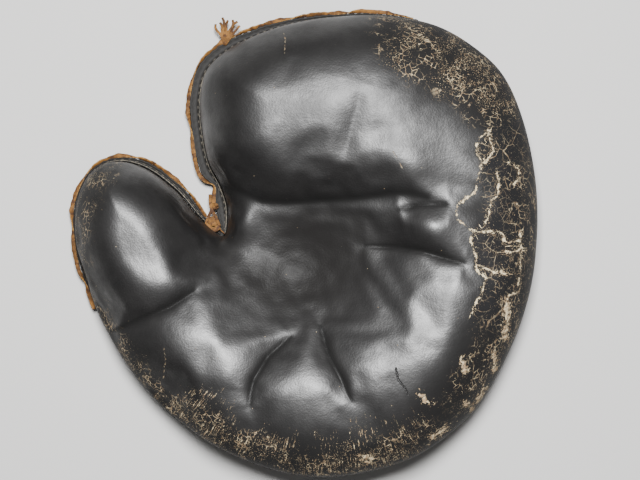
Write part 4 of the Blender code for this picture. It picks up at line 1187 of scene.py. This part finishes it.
def build_chape(leather):
    """The leather that holds the buckle: it wraps the bar on both sides of the prong."""
    radius, tail, slot_end = 2.15, -CHAPE_LONG, -7.4
    under = [(tail, 0.15), (tail + 6, 0.1), (-6.5, -0.3), (-3.5, 0.4 - radius)]
    over = [(-3.5, radius - 0.15), (-7, 1.95), (tail, 1.9)]
    side = [*under, *arc_about_bar(radius, -90, 90, 12), *over]
    middle_plies = [*under[:2], (slot_end, -0.2)], [(slot_end, 1.95), over[-1]]
    strips = [(side, -4.9, 6.2), (side, 4.9, 6.2), *[(ply, 0, 3.8) for ply in middle_plies]]
    parts = [bent_strip(run, middle, 12 * len(run), width, 1.3) for run, middle, width in strips]
    chape = add_piece("buckle_chape_leather", *join_parts(parts), leather)
    settle(chape, "mitt", "back_leather", "buckle_chape")


def build_buckle(steel):
    """The buckle's frame, and the roller and the prong on it."""
    ring = rounded_rectangle(FRAME_LONG / 2, FRAME_WIDE / 2, FRAME_CORNER)
    path = raised(ring, 0.0) + BAR + (FRAME_LONG / 2, 0, 0)
    wire = add_piece("buckle_frame_wire", *band(path, 2 * WIRE_R, 2 * WIRE_R, (0, 0, 1)), steel)
    settle(wire, "buckle", "nickelled_steel", "buckle_frame")

    end, radius = FRAME_WIDE / 2 - FRAME_CORNER - 0.6, ROLLER_R
    profile = [(1.62, -end + 0.2), (1.75, -end), (1.95, -end + 0.05), (radius, -end + 0.35)]
    profile += [(radius, y) for y in np.linspace(-end + 1, end - 1, 6)]
    profile += [(r, -y) for r, y in profile[3::-1]]
    around = full_turn(28)
    rings = [across_y(r * np.cos(around), y, r * np.sin(around)) for r, y in profile]
    points, faces = loft(rings, joined=True)
    roller = add_piece("buckle_roller_tube", points + BAR + (FRAME_LONG, 0, 0), faces, steel)
    settle(roller, "roller", "nickelled_steel", "buckle_roller")

    arm, count = -ROLLER_R - 0.8, 90
    run = [*arc_about_bar(2.05, -25, 245, 16), (1.2, -2.15), (6, arm + 0.35), (FRAME_LONG - 4, arm + 0.05),
           (FRAME_LONG, arm), (FRAME_LONG + 2.3, arm)]
    width = np.interp(np.arange(count), [0, 50, 84, 89], [2.4, 2.4, 1.7, 1.0])
    thickness = np.interp(np.arange(count), [0, 60, 84, 89], [0.95, 0.95, 0.7, 0.45])
    prong = add_piece("buckle_prong_wire", *bent_strip(run, 0.0, count, width, thickness), steel)
    settle(prong, "prong", "nickelled_steel", "buckle_prong")


def build_rivets(brass):
    """Domed rivets, each with a washer inside the mitt."""
    top = BACK_UNDER + BACK_THICK + 0.05
    profile = [
        (0.05, 0.0), (1.0, 0.04), (1.8, 0.22), (2.5, 0.62), (2.88, 1.15), (2.98, 1.6), (2.8, 1.95),
        (1.05, 2.0), (1.05, top), (2.2, top), (2.4, top + 0.15), (2.4, top + 0.6), (2.2, top + 0.8),
        (1.2, top + 0.8), (1.0, top + 1.0), (0.05, top + 1.05),
    ]
    for name, centre in RIVETS.items():
        settle(add_piece(name + "_brass", *revolve(profile, centre), brass), "mitt", "brass", name)


def build_binding(leather, thread_finish):
    """The binding folded over the edge of the wrist opening."""
    u, _ = arc_places(*WRIST_OPENING, 1.0)
    x, z = squared(full_turn(16), 0.7, 0.7)
    tops = rim_height(u) - 1.8
    rings = [raised(inset(np.full(16, at), 8.2 + 1.6 * x), top + 1.2 * z) for at, top in zip(u, tops)]
    binding = add_piece("wrist_binding_leather", *loft(rings), leather)
    settle(binding, "mitt", "back_leather", "wrist_binding")
    path = raised(inset(u, np.full(len(u), 8.6)), rim_height(u) - 3.0)
    row = add_piece("wrist_binding_stitches", *stitches_along(path, 3.4), thread_finish)
    settle(row, "mitt", "lace_leather")


# ---------------------------------------------------------------- materials


class Finish:
    """A node-built material. Each call adds a node and returns its result."""

    def __init__(self, name):
        self.material = bpy.data.materials.new(name)
        self.material.use_nodes = True
        self.tree = self.material.node_tree
        self.shader = self.tree.nodes["Principled BSDF"]

    def put(self, socket, value):
        """Links a node's result to a socket, or sets a number, a vector or a colour on it."""
        if isinstance(value, bpy.types.NodeSocket):
            self.tree.links.new(value, socket)
        elif socket.type == "RGBA":
            socket.default_value = (*value, 1.0)
        else:
            socket.default_value = value

    def read(self, name, output="Fac"):
        """An attribute of the mesh."""
        node = self.tree.nodes.new("ShaderNodeAttribute")
        node.attribute_name = name
        return node.outputs[output]

    def noise(self, vector, scale, detail=3.0, rough=0.5):
        node = self.tree.nodes.new("ShaderNodeTexNoise")
        for key, value in (("Vector", vector), ("Scale", scale), ("Detail", detail), ("Roughness", rough)):
            self.put(node.inputs[key], value)
        return node.outputs["Fac"]

    def blots(self, vector, scale, low, high, detail=3.0, rough=0.5):
        """Noise as soft-edged blots: 0 where it is below low, 1 above high."""
        return self.fade(self.noise(vector, scale, detail, rough), low, high)

    def cells(self, vector, scale, feature="F1"):
        node = self.tree.nodes.new("ShaderNodeTexVoronoi")
        node.feature = feature
        self.put(node.inputs["Vector"], vector)
        self.put(node.inputs["Scale"], scale)
        return node.outputs["Distance"]

    def math(self, operation, a, b=0.0):
        node = self.tree.nodes.new("ShaderNodeMath")
        node.operation = operation
        self.put(node.inputs[0], a)
        self.put(node.inputs[1], b)
        return node.outputs[0]

    def total(self, *values):
        return reduce(lambda a, b: self.math("ADD", a, b), values)

    def times(self, *values):
        return reduce(lambda a, b: self.math("MULTIPLY", a, b), values)

    def most(self, *values):
        return reduce(lambda a, b: self.math("MAXIMUM", a, b), values)

    def less(self, a, b):
        return self.math("SUBTRACT", a, b)

    def about_half(self, value, amount):
        """How far the value is from 0.5, times the amount."""
        return self.times(self.less(value, 0.5), amount)

    def fade(self, value, low, high):
        """0 at low, 1 at high, smooth between them."""
        node = self.tree.nodes.new("ShaderNodeMapRange")
        node.interpolation_type = "SMOOTHSTEP"
        for key, number in (("Value", value), ("From Min", low), ("From Max", high)):
            self.put(node.inputs[key], number)
        return node.outputs[0]

    def mix(self, a, b, share):
        node = self.tree.nodes.new("ShaderNodeMix")
        node.data_type = "RGBA"
        for key, value in (("Factor", share), ("A", a), ("B", b)):
            self.put(node.inputs[key], value)
        return node.outputs["Result"]

    def vectors(self, operation, a, b):
        node = self.tree.nodes.new("ShaderNodeVectorMath")
        node.operation = operation
        self.put(node.inputs[0], a)
        self.put(node.inputs[1], b)
        return node.outputs[0]

    def stretch(self, vector, scale):
        return self.vectors("MULTIPLY", vector, scale)

    def warp(self, vector, scale, amount):
        """The vector pushed about by noise, by up to about half the amount."""
        node = self.tree.nodes.new("ShaderNodeTexNoise")
        self.put(node.inputs["Vector"], vector)
        self.put(node.inputs["Scale"], scale)
        return self.vectors("ADD", vector, self.stretch(node.outputs["Color"], (amount, amount, 0.0)))

    def finish(self, colour, roughness, height=None, strength=0.5, **constants):
        """The finished material. height is its relief in millimetres, constants are other sockets' values."""
        self.put(self.shader.inputs["Base Color"], colour)
        self.put(self.shader.inputs["Roughness"], roughness)
        for key, value in constants.items():
            self.shader.inputs[key.replace("_", " ")].default_value = value
        if height is not None:
            bump = self.tree.nodes.new("ShaderNodeBump")
            for key, value in (("Strength", strength), ("Distance", MM), ("Height", height)):
                self.put(bump.inputs[key], value)
            for key in ("Normal", "Coat Normal"):
                self.put(self.shader.inputs[key], bump.outputs["Normal"])
        return self.material


TAN, CREAM = (0.23, 0.155, 0.085), (0.46, 0.38, 0.24)


def face_leather():
    """Old black leather: mottled, grained, cracked and flaked to its pale core where it has been knocked, with
    painted shade in its creases and in the fold under the finger lobe.
    """
    f = Finish("worn_black_leather")
    rest, edge = f.read("rest", "Vector"), f.read("edge", "Vector")
    mottle = f.noise(rest, 0.05, 5.0, 0.6)
    grain = f.noise(rest, 1.1, 5.0, 0.65)
    pores = f.cells(rest, 0.8)
    pocket, folded = f.read("pocket"), f.read("folded")

    # the dull, dry leather beyond the polished middle, with a sharp border where it is cracked
    ragged = f.total(f.read("beyond"), f.about_half(f.noise(rest, 0.12, 4.0), 11.0))
    in_plates = f.fade(f.read("cracked"), 0.15, 0.6)
    sharp, soft = f.fade(ragged, -1.5, 1.5), f.fade(ragged, -14.0, 10.0)
    dull = f.total(f.times(sharp, in_plates), f.times(soft, f.less(1.0, in_plates)))
    cracked, speckled = f.times(in_plates, dull), f.times(f.read("speckled"), dull)
    scuffed, flaked = f.read("scuffed"), f.times(f.read("flaked"), dull)

    # cracks: the long lines, a net of thin ones between them and a fine crackle
    wander = f.about_half(f.noise(rest, 0.16, 6.0, 0.75), 9.0)
    long_away = f.math("ABSOLUTE", f.total(f.read("main_crack"), wander))
    long_wide = f.times(f.blots(rest, 0.30, 0.38, 0.70, 5.0, 0.75), 1.1)
    long_gap = f.read("main_crack_gap")
    long_crack = f.fade(f.less(f.total(long_wide, 0.02), long_away), 0.0, 0.25)
    long_crack = f.times(long_crack, f.fade(long_gap, 4.5, 3.0))
    big = f.cells(f.warp(rest, 0.08, 12.0), 0.062, "DISTANCE_TO_EDGE")
    line_width = f.times(f.noise(rest, 0.4, 5.0, 0.7), 0.03)
    thin = f.times(f.fade(f.less(line_width, big), 0.002, 0.010), cracked, 0.45)
    cracks = f.times(thin, f.blots(rest, 0.075, 0.46, 0.60))
    small = f.cells(f.warp(rest, 0.3, 4.0), 0.26, "DISTANCE_TO_EDGE")
    crackle = f.times(f.fade(small, 0.05, 0.012), f.blots(rest, 0.10, 0.47, 0.58, 5.0, 0.7), 0.7)
    crackle = f.times(crackle, f.fade(f.most(speckled, f.times(cracked, 0.4)), 0.2, 0.7))

    # flakes, specks and scuffs, and the few bare patches
    fine = f.noise(rest, 1.5, 3.0, 0.6)
    broken = f.blots(rest, 0.7, 0.34, 0.50, rough=0.6)
    chips = f.noise(rest, 0.40, 8.0, 0.72)
    chip_spread = f.times(f.blots(rest, 0.06, 0.45, 0.60), flaked)
    flakes = f.fade(f.total(chips, f.times(chip_spread, 0.12)), 0.71, 0.735)
    patches = f.fade(f.total(f.read("patches_gap"), f.about_half(chips, 22.0)), 1.6, 0.6)
    dust_spread = f.times(f.blots(rest, 0.09, 0.36, 0.60), speckled)
    near_long = f.fade(long_gap, 4.5, 0.5)
    dusty = f.most(dust_spread, f.times(near_long, cracked), f.times(cracked, 0.25))
    specks = f.times(f.fade(f.total(fine, f.times(dusty, 0.13)), 0.70, 0.75), f.fade(dusty, 0.02, 0.2))
    streaks = f.noise(f.stretch(edge, (1.9, 0.13, 0.0)), 1.0, 3.0, 0.6)
    scrub = f.times(scuffed, f.blots(rest, 0.07, 0.36, 0.64, 4.0, 0.65))
    scuffs = f.fade(f.total(f.times(streaks, 0.64), f.times(fine, 0.36), f.times(scrub, 0.10)), 0.62, 0.675)
    scuffs = f.times(scuffs, f.fade(scrub, 0.04, 0.3))
    roughened = f.times(grain, 0.9)
    scratch = f.fade(f.total(f.read("pale_scratch_gap"), roughened), 1.0, 0.6)
    scratch = f.times(scratch, f.blots(rest, 0.35, 0.40, 0.58, 4.0, 0.7))
    dots = f.fade(f.cells(rest, 0.10), 0.036, 0.022)
    whole = f.most(cracks, crackle, flakes, patches, f.times(specks, 0.75), f.times(scuffs, 0.7))
    whole = f.times(whole, f.total(f.times(broken, 0.65), 0.35))
    worn = f.most(whole, long_crack, f.times(scratch, 0.5), f.times(dots, 0.45))
    split = f.fade(f.total(f.read("split_gap"), roughened), 1.25, 0.75)

    # colour, polish, roughness and relief
    base = f.mix((0.0022, 0.0021, 0.0022), (0.006, 0.0055, 0.0053), mottle)
    base = f.mix(base, (0.0025, 0.002, 0.0017), f.times(pocket, 0.75))
    base = f.mix(base, (0.0042, 0.0043, 0.0048), f.times(cracked, 0.8))
    # painted shade: near-black in the creases and the fold under the finger lobe (folded); the split gets the
    # same near-black
    base = f.mix(base, (0.0012, 0.0011, 0.0010), f.most(f.times(folded, 0.8), split))
    paler = f.total(f.noise(rest, 0.5, 4.0, 0.6), f.times(long_crack, 0.10))
    colour = f.mix(base, f.mix(TAN, CREAM, f.fade(paler, 0.40, 0.66)), worn)
    dry = f.most(f.times(pocket, 0.9), f.times(dull, 0.8), f.times(folded, 0.95), worn)
    polish = f.times(f.less(1.0, dry), f.total(0.38, f.times(f.fade(mottle, 0.3, 0.7), 0.5)))
    polish = f.times(polish, f.read("handled"))
    rough = f.total(0.56, f.times(mottle, 0.10), f.times(grain, 0.05), f.times(dry, 0.28))
    height = f.total(
        f.times(grain, 0.14), f.times(pores, 0.07), f.times(worn, -0.3), f.times(split, -1.2),
        f.times(f.noise(rest, 0.28, 3.0), 0.18),
    )
    f.put(f.shader.inputs["Coat Weight"], polish)
    return f.finish(colour, rough, height, 0.5, Specular_IOR_Level=0.18, Coat_Roughness=0.38)


def welt_leather():
    """The seam's black binding, grey along its bead partly from wear and partly as a painted highlight, and
    pale at its cut edge.
    """
    f = Finish("welt_leather")
    rest, ridge = f.read("rest", "Vector"), f.read("ridge")
    grain = f.noise(rest, 1.2, 5.0, 0.65)
    # grey along the bead: partly wear, partly a painted highlight
    bead_wear_and_highlight = f.fade(f.total(ridge, f.about_half(f.noise(rest, 0.6, 4.0, 0.7), 0.9)), 0.55, 0.95)
    dots = f.blots(rest, 1.4, 0.69, 0.74, rough=0.6)
    base = f.mix((0.0028, 0.0027, 0.0025), (0.008, 0.007, 0.006), f.noise(rest, 0.2, 4.0))
    grey = f.mix((0.05, 0.048, 0.042), (0.14, 0.12, 0.09), f.blots(rest, 0.5, 0.45, 0.6, 5.0, 0.7))
    colour = f.mix(base, grey, f.most(f.times(bead_wear_and_highlight, 0.85), f.times(dots, 0.7)))
    rough = f.total(0.70, f.times(bead_wear_and_highlight, 0.12))
    height = f.total(f.times(grain, 0.3), f.times(f.cells(rest, 0.9), 0.12))
    return f.finish(colour, rough, height, 0.5, Specular_IOR_Level=0.25)


def lace_leather():
    """Brown lace, darkened by handling and pale where its fibres show."""
    f = Finish("lace_leather")
    rest = f.read("rest", "Vector")
    fibres = f.noise(f.stretch(rest, (0.9, 0.9, 1.6)), 1.3, 6.0, 0.7)
    base = f.mix((0.052, 0.022, 0.005), (0.14, 0.063, 0.014), f.blots(rest, 0.16, 0.35, 0.65, 4.0, 0.6))
    frayed = f.total(fibres, f.times(f.read("cut_edge"), 0.16))
    colour = f.mix(base, (0.25, 0.15, 0.045), f.fade(frayed, 0.60, 0.76))
    colour = f.mix(colour, (0.025, 0.010, 0.005), f.times(f.blots(rest, 0.3, 0.48, 0.64), 0.85))
    rough = f.total(0.6, f.times(fibres, 0.3))
    return f.finish(colour, rough, f.times(fibres, 0.5), 0.6, Specular_IOR_Level=0.2)


def thread():
    """Dark waxed thread."""
    f = Finish("waxed_thread")
    rest = f.read("rest", "Vector")
    twist = f.noise(rest, 2.4, 3.0)
    return f.finish(f.mix((0.02, 0.017, 0.013), (0.06, 0.05, 0.036), twist), 0.75, f.times(twist, 0.4), 0.5)


def back_leather():
    """The back's dark brown leather: dry, scuffed and handled."""
    f = Finish("back_leather")
    rest = f.read("rest", "Vector")
    mottle = f.noise(rest, 0.07, 5.0, 0.6)
    grain = f.noise(rest, 1.3, 5.0, 0.65)
    base = f.mix((0.0075, 0.0055, 0.0045), (0.026, 0.017, 0.012), f.fade(mottle, 0.3, 0.7))
    rubs = f.times(f.blots(rest, 0.5, 0.60, 0.68, 8.0, 0.75), f.blots(rest, 0.045, 0.45, 0.65, 2.0))
    colour = f.mix(base, f.mix((0.10, 0.062, 0.036), (0.24, 0.17, 0.10), f.noise(rest, 0.8, 3.0)), rubs)
    creases = f.cells(f.warp(rest, 0.2, 6.0), 0.35, "DISTANCE_TO_EDGE")
    height = f.total(f.times(grain, 0.3), f.times(f.fade(creases, 0.0, 0.08), 0.25), f.times(rubs, -0.25))
    rough = f.total(0.6, f.times(mottle, 0.12), f.times(rubs, 0.2))
    return f.finish(colour, rough, height, 0.5, Specular_IOR_Level=0.25)


def lining_leather():
    """Tan lining, darkened by the hand."""
    f = Finish("lining_leather")
    rest = f.read("rest", "Vector")
    nap = f.noise(rest, 1.8, 6.0, 0.7)
    base = f.mix((0.30, 0.175, 0.085), (0.10, 0.052, 0.026), f.blots(rest, 0.03, 0.35, 0.62, 4.0, 0.6))
    colour = f.mix(base, (0.40, 0.27, 0.15), f.times(f.fade(nap, 0.5, 0.75), 0.5))
    return f.finish(colour, 0.85, f.times(nap, 0.5), 0.6, Sheen_Weight=0.2)


def hair_felt():
    """Grey-brown felt of pressed hair."""
    f = Finish("hair_felt")
    rest = f.read("rest", "Vector")
    fibres = f.noise(f.warp(f.stretch(rest, (1.0, 2.6, 1.6)), 0.3, 5.0), 1.4, 6.0, 0.75)
    colour = f.mix((0.12, 0.10, 0.08), (0.34, 0.29, 0.22), fibres)
    colour = f.mix(colour, (0.22, 0.17, 0.12), f.blots(rest, 0.16, 0.4, 0.65, 4.0))
    return f.finish(colour, 0.95, fibres, 0.8, Sheen_Weight=0.4)


def worn_metal(name, bright, tarnish, roughness):
    """Old metal, scratched along its length and tarnished in patches."""
    f = Finish(name)
    rest = f.read("rest", "Vector")
    patches = f.blots(rest, 0.5, 0.42, 0.62, 5.0, 0.65)
    scratches = f.noise(f.stretch(rest, (0.6, 4.0, 4.0)), 1.6, 4.0, 0.7)
    colour = f.mix(bright, tarnish, patches)
    rough = f.total(roughness, f.times(patches, 0.3), f.times(scratches, 0.15))
    height = f.total(f.times(scratches, 0.15), f.times(patches, -0.2))
    return f.finish(colour, rough, height, 0.4, Metallic=1.0)


# ---------------------------------------------------------------- studio and camera

FLOOR_SIZE, CAMERA_AT = 6.0, (0.0131, -0.0016, 1.12)  # metres
# Name, place, size and power in watts
LIGHTS = [("key", (0.0, 0.30, 1.28), 0.30, 74.0), ("fill", (0.3, -0.9, 1.3), 1.2, 4.0)]
LIT_AT = (0, 0, 0.03)


def build_studio():
    """A pale floor, soft light from above and the camera, which looks straight down."""
    scene, half = bpy.context.scene, FLOOR_SIZE / 2
    mesh = bpy.data.meshes.new("floor")
    corners = [(-half, -half, 0), (half, -half, 0), (half, half, 0), (-half, half, 0)]
    mesh.from_pydata(corners, [], [(0, 1, 2, 3)])
    floor = bpy.data.objects.new("floor", mesh)
    scene.collection.objects.link(floor)
    mesh.materials.append(Finish("floor_paint").finish((0.36, 0.356, 0.35), 0.85))
    for name, spot, size, power in LIGHTS:
        lamp = bpy.data.lights.new(name, "AREA")
        lamp.size = size
        lamp.energy = power
        light = bpy.data.objects.new(name, lamp)
        light.location = spot
        light.rotation_euler = (Vector(LIT_AT) - Vector(spot)).to_track_quat("-Z", "Y").to_euler()
        scene.collection.objects.link(light)
    world = bpy.data.worlds.new("studio")
    world.use_nodes = True
    world.node_tree.nodes["Background"].inputs["Color"].default_value = (0.5, 0.5, 0.5, 1)
    world.node_tree.nodes["Background"].inputs["Strength"].default_value = 0.035
    scene.world = world
    lens = bpy.data.cameras.new("camera")
    lens.lens, lens.sensor_width = 100, 36
    camera = bpy.data.objects.new("camera", lens)
    camera.location = CAMERA_AT
    scene.collection.objects.link(camera)
    scene.camera = camera


build_studio()
build_face(face_leather())
WELT, LACE, THREAD, BACK = welt_leather(), lace_leather(), thread(), back_leather()
STEEL = worn_metal("nickelled_steel", (0.56, 0.53, 0.48), (0.20, 0.13, 0.08), 0.28)
BRASS = worn_metal("brass", (0.62, 0.42, 0.17), (0.16, 0.10, 0.05), 0.32)
build_seams(WELT, LACE, THREAD)
build_back(BACK, THREAD)
build_stalls(BACK, THREAD)
build_lining(lining_leather())
build_pads(hair_felt())
build_strap(BACK, THREAD)
build_chape(BACK)
build_buckle(STEEL)
build_rivets(BRASS)
build_binding(BACK, THREAD)
